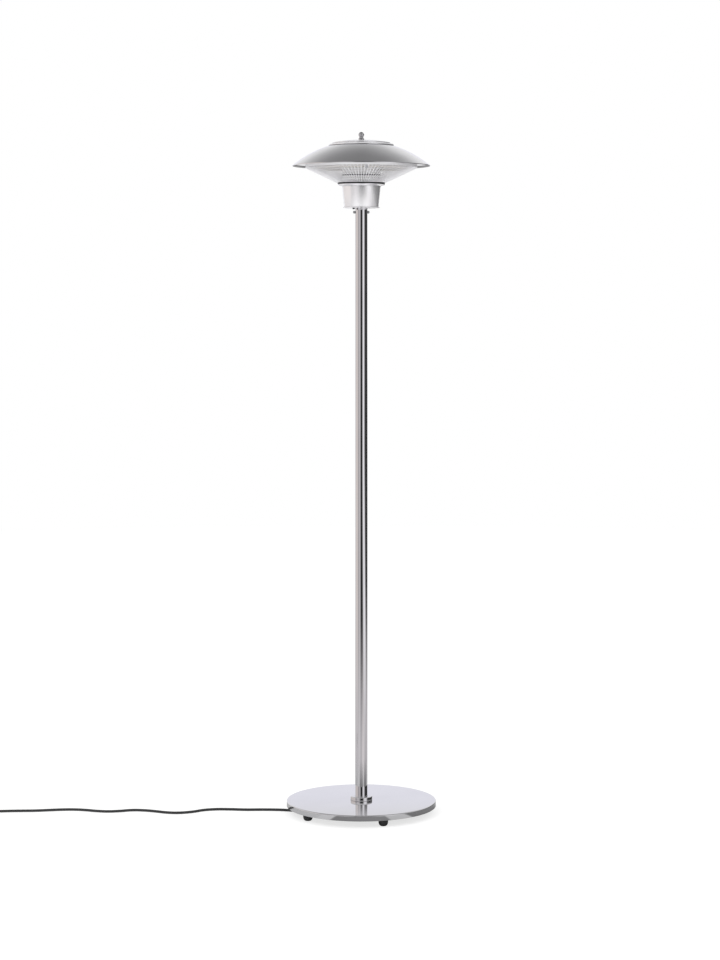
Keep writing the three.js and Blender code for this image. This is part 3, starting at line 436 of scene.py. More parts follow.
def polished_steel():
    shader = Shader("polished_stainless", (0.76, 0.755, 0.775), 1, 0.06)
    smears = shader.noise(9, 4)
    shader.mottle(smears, (0.97, 1.02))
    shader.roughness(smears, 0.035, 0.085)
    hairlines = shader.noise(1, 2, shader.stretched(900, 900, 12))
    shader.bump(hairlines, 0.0000008)
    return shader


def turned_steel(name, color, metallic, marks, clouds, tones, roughness, bump):
    """Steel sheet with fine marks round its axis and faint clouds."""
    shader = Shader(name, color, metallic, roughness[0])
    marks = shader.noise(marks, 2, shader.rings())
    shader.mottle(shader.noise(clouds, 4), tones)
    shader.roughness(marks, *roughness)
    shader.bump(marks, bump)
    return shader


def bright_aluminium():
    shader = Shader("bright_aluminium", (0.95, 0.945, 0.955), 0.35, 0.12)
    shader.roughness(shader.noise(900, 2, shader.rings()), 0.09, 0.18)
    shader.mottle(shader.noise(20, 3), (0.96, 1))
    shader.bump(shader.noise(60, 2), 0.00002)
    return shader


def cast_iron():
    shader = Shader("cast_iron", (0.07, 0.07, 0.075), 0.25, 0.75)
    grain = shader.noise(900, 5)
    shader.color(shader.noise(40, 5), (0.05, 0.05, 0.052), (0.10, 0.098, 0.095))
    shader.roughness(grain, 0.6, 0.9)
    shader.bump(grain, 0.0003)
    return shader


def speckled(name, color, metallic, grain, tones, roughness, bump=0):
    """A material whose tone and roughness vary with one noise of a (scale, detail) grain."""
    shader = Shader(name, color, metallic, roughness[0])
    specks = shader.noise(*grain)
    shader.mottle(specks, tones)
    shader.roughness(specks, *roughness)
    if bump:
        shader.bump(specks, bump)
    return shader


def zinc_steel():
    color = (0.62, 0.63, 0.65)
    shader = speckled("zinc_plated_steel", color, 1, (180, 4), (0.9, 1.05), (0.24, 0.4))
    shader.bump(shader.noise(1500, 2), 0.00001)
    return shader


def moulded(name, color, roughness, grain, bump):
    """Rubber or plastic with a fine grain."""
    shader = Shader(name, color, 0, sum(roughness) / 2)
    texture = shader.noise(grain, 3)
    shader.color(shader.noise(60, 4), shade_of(color, 0.8), shade_of(color, 1.25))
    shader.roughness(texture, *roughness)
    shader.bump(texture, bump)
    return shader


def lamp_glass():
    amber = (0.92, 0.88, 0.83)
    shader = speckled("amber_quartz_glass", amber, 0, (90, 3), (0.9, 1.1), (0.03, 0.1))
    shader.feed_main(("Transmission Weight", 0.35), ("IOR", 1.45), ("Alpha", 0.9))
    return shader


def filament():
    shader = Shader("tungsten_filament", (0.30, 0.28, 0.27), 1, 0.4)
    shader.mottle(shader.noise(300, 3), (0.8, 1.2))
    return shader


def woven_sleeve():
    shader = Shader("woven_glass_sleeve", (0.82, 0.81, 0.77), 0, 0.8)
    weave = shader.noise(2600, 2)
    shader.mottle(weave, (0.8, 1))
    shader.bump(weave, 0.00015)
    return shader


def spun_steel():
    color = (0.85, 0.845, 0.865)
    return turned_steel("spun_stainless", color, 1, 1600, 14, (0.97, 1.02), (0.12, 0.17), 0.000003)


def satin_steel():
    color = (0.95, 0.945, 0.965)
    return turned_steel("satin_stainless", color, 0.8, 1400, 20, (0.97, 1.01), (0.25, 0.27), 0.0000008)


def dark_chrome():
    return speckled("dark_chrome", (0.52, 0.515, 0.53), 1, (30, 4), (0.95, 1.03), (0.04, 0.09))


# Dark grey steel for the fold inside the shade's rim: painted shade, for the dark line along the rim.
def painted_shade_steel():
    return speckled("painted_shade_fold_steel", (0.30, 0.295, 0.30), 1, (300, 4), (0.85, 1.15), (0.28, 0.45))


def grille_wire():
    color = (0.86, 0.855, 0.875)
    return speckled("bright_grille_wire", color, 0.5, (700, 3), (0.93, 1.04), (0.32, 0.46), 0.00001)


def dark_screw():
    return speckled("darkened_screw_steel", (0.30, 0.30, 0.31), 1, (400, 4), (0.8, 1.2), (0.22, 0.42))


def ceramic():
    return speckled("steatite_ceramic", (0.83, 0.80, 0.74), 0, (500, 5), (0.93, 1), (0.42, 0.6), 0.00002)


def brass():
    return speckled("plug_pin_brass", (0.78, 0.62, 0.34), 1, (250, 4), (0.85, 1), (0.18, 0.35))


# Each finish has its material and the slot that it fills.
FINISHES = {
    finish: (shader.material, slot) for finish, shader, slot in (
        ("polished", polished_steel(), "polished_steel"),
        ("chrome", dark_chrome(), "polished_steel"),
        ("spun", spun_steel(), "satin_steel"),
        ("satin", satin_steel(), "satin_steel"),
        # the rim's fold, dark grey as painted shade
        ("rim", painted_shade_steel(), "satin_steel"),
        ("bright", bright_aluminium(), "bright_aluminium"),
        ("iron", cast_iron(), "cast_iron"),
        ("zinc", zinc_steel(), "zinc_steel"),
        ("wire", grille_wire(), "zinc_steel"),
        ("screw", dark_screw(), "screw_steel"),
        ("rubber", moulded("foot_rubber", (0.022, 0.022, 0.023), (0.5, 0.7), 700, 0.00006), "black_rubber"),
        ("cord", moulded("cord_sheath", (0.020, 0.020, 0.021), (0.38, 0.5), 1100, 0.00002), "cord_sheath"),
        ("plastic", moulded("moulded_plastic", (0.024, 0.024, 0.026), (0.35, 0.48), 1600, 0.00002),
         "black_plastic"),
        ("seal", moulded("seal_rubber", (0.016, 0.016, 0.017), (0.5, 0.65), 900, 0.00004), "black_seal"),
        ("ceramic", ceramic(), "ceramic"),
        ("glass", lamp_glass(), "lamp_glass"),
        ("filament", filament(), "screw_steel"),
        ("sleeve", woven_sleeve(), "lead_sleeve"),
        ("brass", brass(), "screw_steel"),
    )
}

# ---- camera


def make_camera():
    data = bpy.data.cameras.new("photo_camera")
    data.sensor_fit = "AUTO"
    data.sensor_width = SENSOR_WIDTH
    data.lens = FOCAL_PIXELS * SENSOR_WIDTH / FRAME_HEIGHT_PIXELS
    data.shift_y = (EYE_LEVEL_PIXEL - FRAME_HEIGHT_PIXELS / 2) / FRAME_HEIGHT_PIXELS
    data.clip_start = 0.05
    data.clip_end = 200
    camera = add_object("photo_camera", data)
    camera.location = (CAMERA_X * MM, -CAMERA_DISTANCE * MM, CAMERA_HEIGHT * MM)
    camera.rotation_euler = (math.pi / 2, 0, 0)
    bpy.context.scene.camera = camera


# ---- cord


def smooth_step(value, start, end):
    t = min(max((value - start) / (end - start), 0), 1)
    return t * t * (3 - 2 * t)


def cord_run_points(start_x, relief_tip_x):
    """The cord from inside its strain relief to the coil."""
    floor_height = CORD_RADIUS + CORD_FLOOR_GAP
    coil_top = COIL_CENTRE[1] + COIL_MEAN_RADIUS + COIL_INSET / 2
    plan = [(start_x, 0), (relief_tip_x, 0), (relief_tip_x - CORD_STRAIGHT, 0)]
    plan += CORD_ROUTE
    coil_start = COIL_CENTRE[0] + 2 * CORD_RADIUS
    plan.append((coil_start + CORD_STRAIGHT, coil_top))
    points = []
    for x, y in plan:
        fallen = smooth_step(relief_tip_x - x, CORD_LEVEL, CORD_LEVEL + CORD_FALL)
        height = CORD_EXIT_HEIGHT + (floor_height - CORD_EXIT_HEIGHT) * fallen
        points.append(Vector((x, y, height)))
    return points


def coil_point(turn):
    """A point of the coil's middle line. It lifts a little over the tie and at its end to the plug."""
    angle = math.pi / 2 + 2 * math.pi * turn
    middle = COIL_TURNS / 2
    outer = COIL_MEAN_RADIUS + COIL_INSET / 2
    radius = outer - COIL_INSET * (1 - abs(turn - middle) / middle)
    climb = COIL_LAYER * smooth_step(turn, middle - COIL_CLIMB_TURNS / 2, middle + COIL_CLIMB_TURNS / 2)
    lift = PLUG_RADIUS - CORD_RADIUS - COIL_LAYER
    lift *= smooth_step(turn, COIL_TURNS - COIL_LIFT_TURNS, COIL_TURNS)
    from_tie = (math.degrees(angle) - TIE_ANGLE + 180) % 360 - 180
    over_tie = TIE_CLEARANCE * (1 - smooth_step(abs(from_tie), *TIE_SLOPE))
    x = COIL_CENTRE[0] + radius * math.cos(angle)
    y = COIL_CENTRE[1] + radius * math.sin(angle)
    return Vector((x, y, CORD_RADIUS + CORD_FLOOR_GAP + climb + lift + over_tie))


def coil_points():
    outer = COIL_MEAN_RADIUS + COIL_INSET / 2
    level = CORD_RADIUS + CORD_FLOOR_GAP
    start = Vector((COIL_CENTRE[0] + 2 * CORD_RADIUS, COIL_CENTRE[1] + outer, level))
    steps = round(COIL_TURNS * COIL_POINTS_PER_TURN)
    points = [start] + [coil_point(COIL_TURNS * i / steps) for i in range(steps + 1)]
    points.append(points[-1] - Vector((0, COIL_EXIT, 0)))
    return points


def make_cord():
    start_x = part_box("cord_clamp")[0].x / MM
    relief_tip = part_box("strain_relief")[0].x / MM
    points = cord_run_points(start_x, relief_tip) + coil_points()
    data = bpy.data.curves.new("mains_cord", "CURVE")
    data.dimensions = "3D"
    data.bevel_depth = CORD_RADIUS * MM
    data.bevel_resolution = 5
    data.resolution_u = 8
    data.use_fill_caps = True
    spline = data.splines.new("BEZIER")
    spline.bezier_points.add(len(points) - 1)
    for knot, point in zip(spline.bezier_points, points):
        knot.co = point * MM
        knot.handle_left_type = "AUTO"
        knot.handle_right_type = "AUTO"
    cord = dress(add_object("mains_cord", data), "cord", "cord_run", "cord_coil")
    plug = make_plug(points[-1])
    tie = make_tie()
    relief = make_strain_relief(start_x, relief_tip)


def make_strain_relief(start_x, tip_x):
    """A tapered sleeve with grooves round it, on the cord where it leaves the clamp."""
    length = start_x - tip_x
    bore = CORD_RADIUS - 0.2
    base_radius, tip_radius = 7.4, 5.1
    grooves, groove_depth = 7, 0.9
    first_groove, end_margin = 5.2, 7
    pitch = (length - end_margin) / grooves
    outline = [(bore, 0.2), (base_radius, 0.2), (base_radius, first_groove - 0.6)]
    for i in range(grooves):
        for share, inset in ((0, groove_depth), (0.28, groove_depth), (0.36, 0), (0.92, 0)):
            along = first_groove + (i + share) * pitch
            radius = base_radius + (tip_radius - base_radius) * along / length
            outline.append((radius - inset, along))
    outline += [(tip_radius - 0.3, length - 0.5), (CORD_RADIUS + 0.2, length), (bore, length)]
    place = turned_to((-1, 0, 0), (start_x, 0, CORD_EXIT_HEIGHT))
    return turned("cord_relief", outline, "cord", "strain_relief", place=place, **SMALL)


def make_tie():
    """A narrow strap round the coil's turns."""
    turns = [TIE_ANGLE / 360 - 0.25 + k for k in range(3)]
    strands = [coil_point(turn) for turn in turns if 0 <= turn <= COIL_TURNS]
    centre = Vector((*COIL_CENTRE, 0))
    radii = [(strand.xy - centre.xy).length for strand in strands]
    heights = [strand.z for strand in strands]
    outward = on_circle(1, TIE_ANGLE)
    points = []
    for k in range(TIE_POINTS):
        arm = on_circle(CORD_RADIUS + TIE_THICKNESS / 2, 360 * k / TIE_POINTS)
        radius = arm.x + (max(radii) if arm.x >= 0 else min(radii))
        height = arm.y + (max(heights) if arm.y >= 0 else min(heights))
        points.append(centre + outward * radius + Vector((0, 0, height)))
    mesh = bmesh.new()
    add_strip(mesh, points, on_circle(TIE_WIDTH, TIE_ANGLE + 90), TIE_THICKNESS, closed=True)
    return dress(finish_mesh("cord_tie", mesh), "plastic")


def make_plug(end):
    """A round two-pin plug with a ribbed neck, a waisted grip and earth clips at its sides."""
    gap = 0.3
    place = turned_to((0, -1, 0), (end.x, end.y - gap, end.z))
    neck, body, pin = 33, 37, 19
    face = neck + body
    outline = [(CORD_RADIUS - 0.2, 0), (4.9, 0)]
    ribs, rib_pitch, rib_depth = 6, 4.4, 1
    for i in range(ribs):
        start = 3 + i * rib_pitch
        radius = 5.1 + 1.7 * i / ribs
        outline += [(radius, start), (radius, start + 2.6, 0.4), (radius - rib_depth, start + 2.9)]
        outline.append((radius - rib_depth, start + 4.1))
    outline += [(7.2, neck - 2), (8.2, neck, 1), (11.8, neck + 0.6, 1.5), (14.2, neck + 6, 4)]
    outline += [(14.6, neck + 14, 6), (17.2, neck + 21, 4), (PLUG_RADIUS - 0.1, neck + 27, 2)]
    outline += [(PLUG_RADIUS - 0.1, face, 1.2), (0, face), (0, 0)]
    shell = turned("plug_body", outline, "plastic", "mains_plug", place=place, **SMALL)

    pin_radius, pin_offset = 2.35, 9.5
    clip = (5, 1.4, 14)
    pin_outline = [(0, face - 1), (pin_radius, face - 1), (pin_radius, face + pin, 1.6), (0, face + pin)]
    mesh = bmesh.new()
    for side in (-1, 1):
        add_lathe(mesh, fillet(pin_outline), 24, place @ Matrix.Translation((side * pin_offset, 0, 0)))
    for side in (-1, 1):
        at = place @ Matrix.Translation((0, side * (PLUG_RADIUS - clip[1]), face - clip[2] / 2))
        add_block(mesh, clip, 0.4, at)
    pins = dress(finish_mesh("plug_pins", mesh, SOFT_CREASE), "brass")
    return [shell, pins]


# ---- screws


def make_screw(name, finish, node, direction, head_radius, head_height, socket):
    """A pan head screw whose head's outer face looks along a direction, over the node's solid."""
    low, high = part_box(node)
    direction = Vector(direction)
    reach = (high - low) / 2 / MM
    top = middle_of(node) + Vector([d * r for d, r in zip(direction, reach)])
    place = turned_to(direction, top)
    length = 2 * abs(reach.dot(direction))
    shank = head_radius * 0.55
    outline = [
        (0, -length), (shank, -length, 0.6), (shank, -head_height), (head_radius, -head_height, 0.3),
        (head_radius, -head_height * 0.45, head_height * 0.35), (head_radius * 0.75, 0, 1), (0, 0),
    ]
    screw = turned(name, outline, finish, node, place=place, **SMALL)
    wide, narrow = head_radius * 1.1, head_radius * 0.26
    depth = head_height * 0.7
    if socket == "cross":
        for size in ((wide, narrow, 2 * depth), (narrow, wide, 2 * depth)):
            mesh = bmesh.new()
            add_block(mesh, size, 0.1, place)
            cut_with(screw, mesh)
    else:
        mesh = bmesh.new()
        add_lathe(mesh, [(0, -depth), (wide / 2, -depth), (wide / 2, 1), (0, 1)], 6, place)
        cut_with(screw, mesh)
    screw.data.set_sharp_from_angle(angle=math.radians(SOFT_CREASE))


# ---- base


def make_base():
    radius, low, high = span("base_cover")
    hole, skirt_gap = 22, 0.2
    outline = [
        (hole, high - SHEET), (radius - SHEET, high - SHEET, 1.6), (radius - SHEET, low + skirt_gap),
        (radius, low + skirt_gap, 0.4), (radius, high, 2.8), (hole, high),
    ]
    turned("base_disc", outline, "polished", "base_cover", sides=FINE_ROUND, corner_steps=8)

    radius, low, high = span("base_weight")
    inner_rim, outer_rim, relief = 20, 44, 2
    outline = [
        (hole, low, 1.5), (hole + inner_rim, low, 1), (hole + inner_rim + relief, low + relief, 1),
        (radius - outer_rim - relief, low + relief, 1), (radius - outer_rim, low, 1),
        (radius, low, 1.5), (radius, high), (hole, high),
    ]
    turned("base_casting", outline, "iron", "base_weight")


def make_feet():
    """Domed feet, each with a counterbore for its screw's head and a hole for its shank."""
    counterbore, bore, shoulder = 4.9, 2.8, 9
    for i in range(1, 6):
        node = f"foot_{i}"
        radius = half_width(node)
        height = span(node)[2]
        outline = [
            (counterbore, 0, 0.4), (8.6, 0, 2.6), (12.9, 4, 4.5), (radius, 10.2, 4),
            (radius, height, 0.6), (bore, height), (bore, shoulder), (counterbore, shoulder),
        ]
        place = upright_at(node)
        turned(f"rubber_foot_{i}", outline, "rubber", node, place=place, sides=64, crease=SOFT_CREASE)
        make_screw(f"foot_fixing_{i}", "zinc", f"foot_screw_{i}", (0, 0, -1), 4.5, 3.3, "cross")


def make_collar():
    radius, low, high = span("base_collar")
    inside = span("pole")[0] + 0.35
    outline = [
        (radius - SHEET, low), (radius, low, 0.3), (radius, high, 2.4), (inside, high, 0.5),
        (inside, high - SHEET), (radius - SHEET, high - SHEET, 1.4),
    ]
    turned("collar_cover", outline, "polished", "base_collar", sides=96, corner_steps=8)


def make_cord_clamp():
    """A block with a bore for the cord and a hole for its screw."""
    bore_radius, hole_radius = CORD_RADIUS + 0.3, 2
    low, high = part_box("cord_clamp")
    size = (high - low) / MM
    middle = middle_of("cord_clamp")
    mesh = bmesh.new()
    add_block(mesh, size, 1.6, Matrix.Translation(middle))
    block = finish_mesh("clamp_block", mesh)
    bore = [(middle.x + side * size.x, 0, CORD_EXIT_HEIGHT) for side in (-1, 1)]
    hole = middle_of("cord_clamp_screw")
    hole_ends = [(hole.x, hole.y, low.z / MM - 1), (hole.x, hole.y, high.z / MM + 1)]
    for points, radius, sides in ((bore, bore_radius, 32), (hole_ends, hole_radius, 24)):
        cutter = bmesh.new()
        add_tube(cutter, points, radius, sides)
        cut_with(block, cutter)
    dress(block, "plastic", "cord_clamp")
    make_screw("clamp_fixing", "zinc", "cord_clamp_screw", (0, 0, -1), 3.35, 2.5, "cross")


def make_inner_cable():
    """The mains cable down the pole, with one bend to the clamp."""
    bend, bend_steps = 32, 12
    straight_top = span("cup_housing")[1] + 8
    terminal = middle_of("terminal_block")
    block_bottom = span("terminal_block")[1]
    points = [Vector((0, terminal.y, block_bottom)), Vector((0, terminal.y, block_bottom - 12))]
    points.append(Vector((0, terminal.y * 0.5, (block_bottom + straight_top) / 2 - 6)))
    points += [Vector((0, 0, straight_top)), Vector((0, 0, CORD_EXIT_HEIGHT + bend))]
    for i in range(1, bend_steps + 1):
        arm = on_circle(bend, 90 * i / bend_steps)
        points.append(Vector((arm.x - bend, 0, CORD_EXIT_HEIGHT + bend - arm.y)))
    points.append(Vector((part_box("cord_clamp")[0].x / MM, 0, CORD_EXIT_HEIGHT)))
    tube("inner_cable", points, CORD_RADIUS, 24, "cord", "mains_cable")


# ---- pole and cup


def make_pole():
    radius, low, high = span("pole")
    outline = [(radius - SHEET, low), (radius, low), (radius, high, 0.3), (radius - SHEET, high)]
    turned("pole_tube", outline, "polished", "pole")
    for name, side in (("left", -1), ("right", 1)):
        make_screw(f"pole_bolt_{name}", "screw", f"pole_screw_{name}", (side, 0, 0), 4.3, 6, "hex")


def make_cup():
    """The cup, and its base plate with holes for the pole, the button and two countersunk screws."""
    radius, low, high = span("cup_base_plate")
    pole_hole, button_hole = 17.8, 3.9
    outline = [(pole_hole, low), (radius, low, 1.4), (radius, high, 0.8), (pole_hole, high)]
    plate = turned("cup_floor", outline, "satin", "cup_base_plate")
    holes = bmesh.new()
    button = middle_of("push_button")
    ends = [(button.x, button.y, low - 1), (button.x, button.y, high + 1)]
    add_tube(holes, ends, button_hole, 32)
    countersink = [(0, -1), (4.9, -1), (4.9, 0.3), (2.8, 2.7), (2.8, 4), (0, 4)]
    for side in (-1, 1):
        add_lathe(holes, countersink, 32, Matrix.Translation((side * 45, 0, low)))
    cut_with(plate, holes)

    top_radius, low, high = span("cup_housing")
    bottom_radius, wall = 53, 1.5
    outline = [
        (bottom_radius - wall, low), (bottom_radius, low, 0.4), (top_radius, high, 0.4),
        (top_radius - wall, high),
    ]
    turned("cup_shell", outline, "satin", "cup_housing")

    shank, head = 2.5, 4.5
    for i in (1, 2):
        node = f"cup_bolt_{i}"
        _, low, high = span(node)
        outline = [(0, low + 1.2), (2, low + 1.2), (2.2, low, 0.2), (head, low, 0.2), (shank, low + 2.4)]
        outline += [(shank, high), (0, high)]
        turned(f"cup_fixing_{i}", outline, "zinc", node, place=upright_at(node), **SMALL)


def make_button():
    """The push button, with the collar that keeps it in the cup."""
    _, low, high = span("push_button")
    radius, collar_radius, collar_height = 3.5, 5, 2.2
    collar_low = span("cup_base_plate")[2] + 0.3
    outline = [
        (0, low + 0.25), (1.6, low + 0.1), (radius, low, 1.1), (radius, collar_low),
        (collar_radius, collar_low), (collar_radius, collar_low + collar_height),
        (radius, collar_low + collar_height), (radius, high), (0, high),
    ]
    place = upright_at("push_button")
    turned("button_cap", outline, "plastic", "push_button", body=BUTTON, place=place, **SMALL)


# ---- head

# The shade, the drum's flange and the reflector are parts of spheres about one middle.
SHADE_SPHERE = 336
DRUM_FLANGE_SPHERE = SHADE_SPHERE - 1.5
REFLECTOR_SPHERE = DRUM_FLANGE_SPHERE - 1.5
DRUM_SEAT = 0.3  # over the drum's seal
DRUM_HEIGHT = 96.4
DRUM_RADIUS = 60
DRUM_TOP = span("drum_seal")[2] + DRUM_SEAT + DRUM_HEIGHT
SPHERE_MIDDLE = DRUM_TOP - math.sqrt(DRUM_FLANGE_SPHERE**2 - DRUM_RADIUS**2)
GRILLE_WIRES = 96
GRILLE_HOOPS = [0.1, 0.26, 0.42, 0.58, 0.74, 0.9]  # shares of the way up the wires
LAMP_RING_RADIUS = 140
LAMP_TUBE_RADIUS = 5.9


def make_ring(name, node, breadth, rounding):
    """A flat black ring."""
    radius, low, high = span(node)
    inside = radius - breadth
    outline = [(inside, low), (radius, low, rounding), (radius, high, rounding), (inside, high)]
    turned(name, outline, "seal", node)


def make_head_plate():
    radius, low, high = span("head_plate")
    outline = [
        (0, low), (span("cup_housing")[0], low, 1), (radius, high - 2, 1.2), (radius, high, 0.8),
        (0, high),
    ]
    turned("head_flange", outline, "spun", "head_plate")
    make_ring("gasket_ring", "gasket", 11, 0.8)


def make_pedestal_and_drum():
    radius, low, high = span("pedestal")
    outline = [
        (0, high - SHEET), (radius - SHEET, high - SHEET, 1), (radius - SHEET, low), (radius, low),
        (radius, high, 1.5), (0, high),
    ]
    turned("lamp_pedestal", outline, "bright", "pedestal")
    make_ring("black_ring", "drum_seal", 10, 1)

    radius = span("drum_seal")[0]
    flange_radius, low, _ = span("reflector_drum")
    outline = [(radius - SHEET, low), (radius, low)]
    outline += arc(DRUM_FLANGE_SPHERE - SHEET, SPHERE_MIDDLE, radius, flange_radius, 8)
    outline += arc(DRUM_FLANGE_SPHERE, SPHERE_MIDDLE, flange_radius, radius - SHEET, 8)
    turned("drum_skin", outline, "bright", "reflector_drum")


def make_reflector():
    """A domed dish with an upright edge."""
    radius, low, _ = span("heat_reflector")
    inner = span("drum_seal")[0] + 0.4
    sheet = 1
    shoulder = SPHERE_MIDDLE + math.sqrt(REFLECTOR_SPHERE**2 - (radius - 3) ** 2)
    outline = arc(REFLECTOR_SPHERE - sheet, SPHERE_MIDDLE, inner, radius - 4, 24)
    outline += [(radius - sheet, shoulder - 5), (radius - sheet, low)]
    outline += [(radius, low), (radius, shoulder - 4)]
    outline += arc(REFLECTOR_SPHERE, SPHERE_MIDDLE, radius - 3, inner, 24)
    turned("reflector_dish", outline, "bright", "heat_reflector")


def make_grille():
    """Straight radial wires with hoops behind them, a flat foot ring and an upright rim band."""
    radius, low, high = span("grille")
    foot_radius = span("head_plate")[0]
    foot_breadth, foot_height = 5, 1.6
    band_height, band_sheet, band_taper = 12.5, 1.4, 2
    wire, heel_length, tail_height = 1.25, 5.5, 5
    mesh = bmesh.new()
    foot = [(foot_radius - foot_breadth, low), (foot_radius, low, 0.4)]
    foot += [(foot_radius, low + foot_height, 0.4), (foot_radius - foot_breadth, low + foot_height)]
    band_low, band_foot = high - band_height, radius - band_taper
    band = [(band_foot - band_sheet, band_low), (band_foot, band_low, 0.5)]
    band += [(radius, high, 0.5), (radius - band_sheet, high)]
    for outline in (foot, band):
        add_lathe(mesh, fillet(outline, 3), ROUND)

    heel = Vector((foot_radius - 1.5, 0, low + foot_height))
    start = Vector((foot_radius + heel_length, 0, low + 1.9))
    end = Vector((band_foot + 0.6, 0, band_low - 0.4))
    tail = end + Vector((-1.7, 0, tail_height))
    for i in range(GRILLE_WIRES):
        turn = Matrix.Rotation(2 * math.pi * i / GRILLE_WIRES, 4, "Z")
        points = [turn @ point for point in (heel, start, start.lerp(end, 0.5), end, tail)]
        add_tube(mesh, points, wire, 6)
    for share in GRILLE_HOOPS:
        place = start.lerp(end, share)
        points = [on_circle(place.x, 360 * k / 120, place.z + 1.6 * wire) for k in range(120)]
        add_tube(mesh, points, wire * 0.8, 6, closed=True)
    dress(finish_mesh("wire_grille", mesh, 50), "wire", "grille")


def lamp_line():
    """The ring lamp's middle line: a ring with two straight ends side by side at the back."""
    radius, end_x, bend = LAMP_RING_RADIUS, 18, 20
    ring_steps, bend_steps = 48, 8
    plane = middle_of("halogen_lamp").z
    bend_x = end_x + bend
    bend_y = math.sqrt((radius - bend) ** 2 - bend_x**2)
    join = math.degrees(math.atan2(bend_y, bend_x))
    end_y = span("drum_seal")[0] + 16
    half = [Vector((end_x, end_y, plane)), Vector((end_x, bend_y - 4, plane))]
    for i in range(bend_steps + 1):
        angle = 180 - (180 - join) * i / bend_steps
        half.append(Vector((bend_x, bend_y, 0)) + on_circle(bend, angle, plane))
    for i in range(1, ring_steps + 1):
        half.append(on_circle(radius, join - (join + 90) * i / ring_steps, plane))
    mirrored = [Vector((-p.x, p.y, p.z)) for p in reversed(half[:-1])]
    return half + mirrored


def resampled(points, spacing):
    """Points at equal steps along a line, with the tangent at each."""
    lengths = [0]
    for before, after in zip(points, points[1:]):
        lengths.append(lengths[-1] + (after - before).length)
    count = int(lengths[-1] / spacing)
    result = []
    k = 0
    for i in range(count + 1):
        along = lengths[-1] * i / count
        while k < len(points) - 2 and lengths[k + 1] < along:
            k += 1
        part = (along - lengths[k]) / (lengths[k + 1] - lengths[k])
        result.append((points[k].lerp(points[k + 1], part), (points[k + 1] - points[k]).normalized()))
    return result


def make_lamp():
    line = lamp_line()
    tube("ring_lamp_glass", line, LAMP_TUBE_RADIUS, 24, "glass", "halogen_lamp")
    helix = []
    helix_radius, wire_radius, step, points_per_turn = 1.3, 0.28, 0.8, 7
    for i, (point, tangent) in enumerate(resampled(line[1:-1], step)):
        arm = on_circle(helix_radius, 360 * i / points_per_turn)
        side = tangent.cross(Vector((0, 0, 1)))
        helix.append(point + side * arm.x + Vector((0, 0, arm.y)))
    tube("lamp_filament", helix, wire_radius, 4, "filament")

    for i in (1, 2):
        node = f"lamp_holder_{i}"
        low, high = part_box(node)
        middle = middle_of(node)
        front = low.y / MM + 6.5
        length = high.y / MM - front
        radius, bore, waist = half_width(node), 6.3, half_width(node) - 1.2
        outline = [(0, 0), (radius, 0), (radius, 4, 0.6), (waist, 5, 0.4), (waist, 9, 0.4)]
        outline += [(radius, 10, 0.6), (radius, length, 1), (bore, length, 0.4)]
        outline += [(bore, length - 8), (0, length - 8)]
        place = turned_to((0, 1, 0), (middle.x, front, middle.z))
        turned(f"lamp_socket_{i}", outline, "ceramic", node, place=place, **SMALL)


def make_lamp_clips():
    """Spring clips of bent strip that hang the lamp from the dish."""
    plane = middle_of("halogen_lamp").z
    loop_radius, leg_gap, leg_rise = 7, 3, 11
    strip_width, strip_thickness = 8, 0.7
    for i, angle in enumerate((-84, 12, 168), 1):
        node = f"lamp_clip_{i}"
        high = span(node)[2]
        strip = [(leg_gap, high), (leg_gap, plane + leg_rise)]
        for degrees in range(60, -241, -12):
            arm = on_circle(loop_radius, degrees)
            strip.append((arm.x, plane + arm.y))
        strip += [(-leg_gap, plane + leg_rise), (-leg_gap, high)]
        turn = Matrix.Rotation(math.radians(angle), 4, "Z")
        points = [turn @ Vector((LAMP_RING_RADIUS + x, 0, z)) for x, z in strip]
        mesh = bmesh.new()
        add_strip(mesh, points, turn @ Vector((0, strip_width, 0)), strip_thickness)
        dress(finish_mesh(f"lamp_spring_{i}", mesh, SOFT_CREASE), "zinc", node)


# ---- shade and cap


def make_shade():
    radius, low, _ = span("shade")
    vent = 76
    outline = arc(SHADE_SPHERE - SHEET, SPHERE_MIDDLE, vent, radius - 0.9, 40)
    outline += [(radius - 0.7, low), (radius - 0.1, low), (radius, low + 0.6)]
    outline += arc(SHADE_SPHERE, SPHERE_MIDDLE, radius - 0.1, vent, 40)
    turned("shade_skin", outline, "spun", "shade", sides=FINE_ROUND)

    # The sheet is folded back inside its rim. The fold is dark grey steel as painted shade, for the dark line
    # along the rim.
    fold, fold_sheet, edge = 7, 1.1, 1.8
    outside = SHADE_SPHERE - SHEET - 0.1
    outline = arc(outside, SPHERE_MIDDLE, radius - fold, radius - edge, 6)
    outline += arc(outside - fold_sheet, SPHERE_MIDDLE, radius - edge, radius - fold, 6)
    turned("shade_rim", outline, "rim", "shade", sides=FINE_ROUND, crease=80)


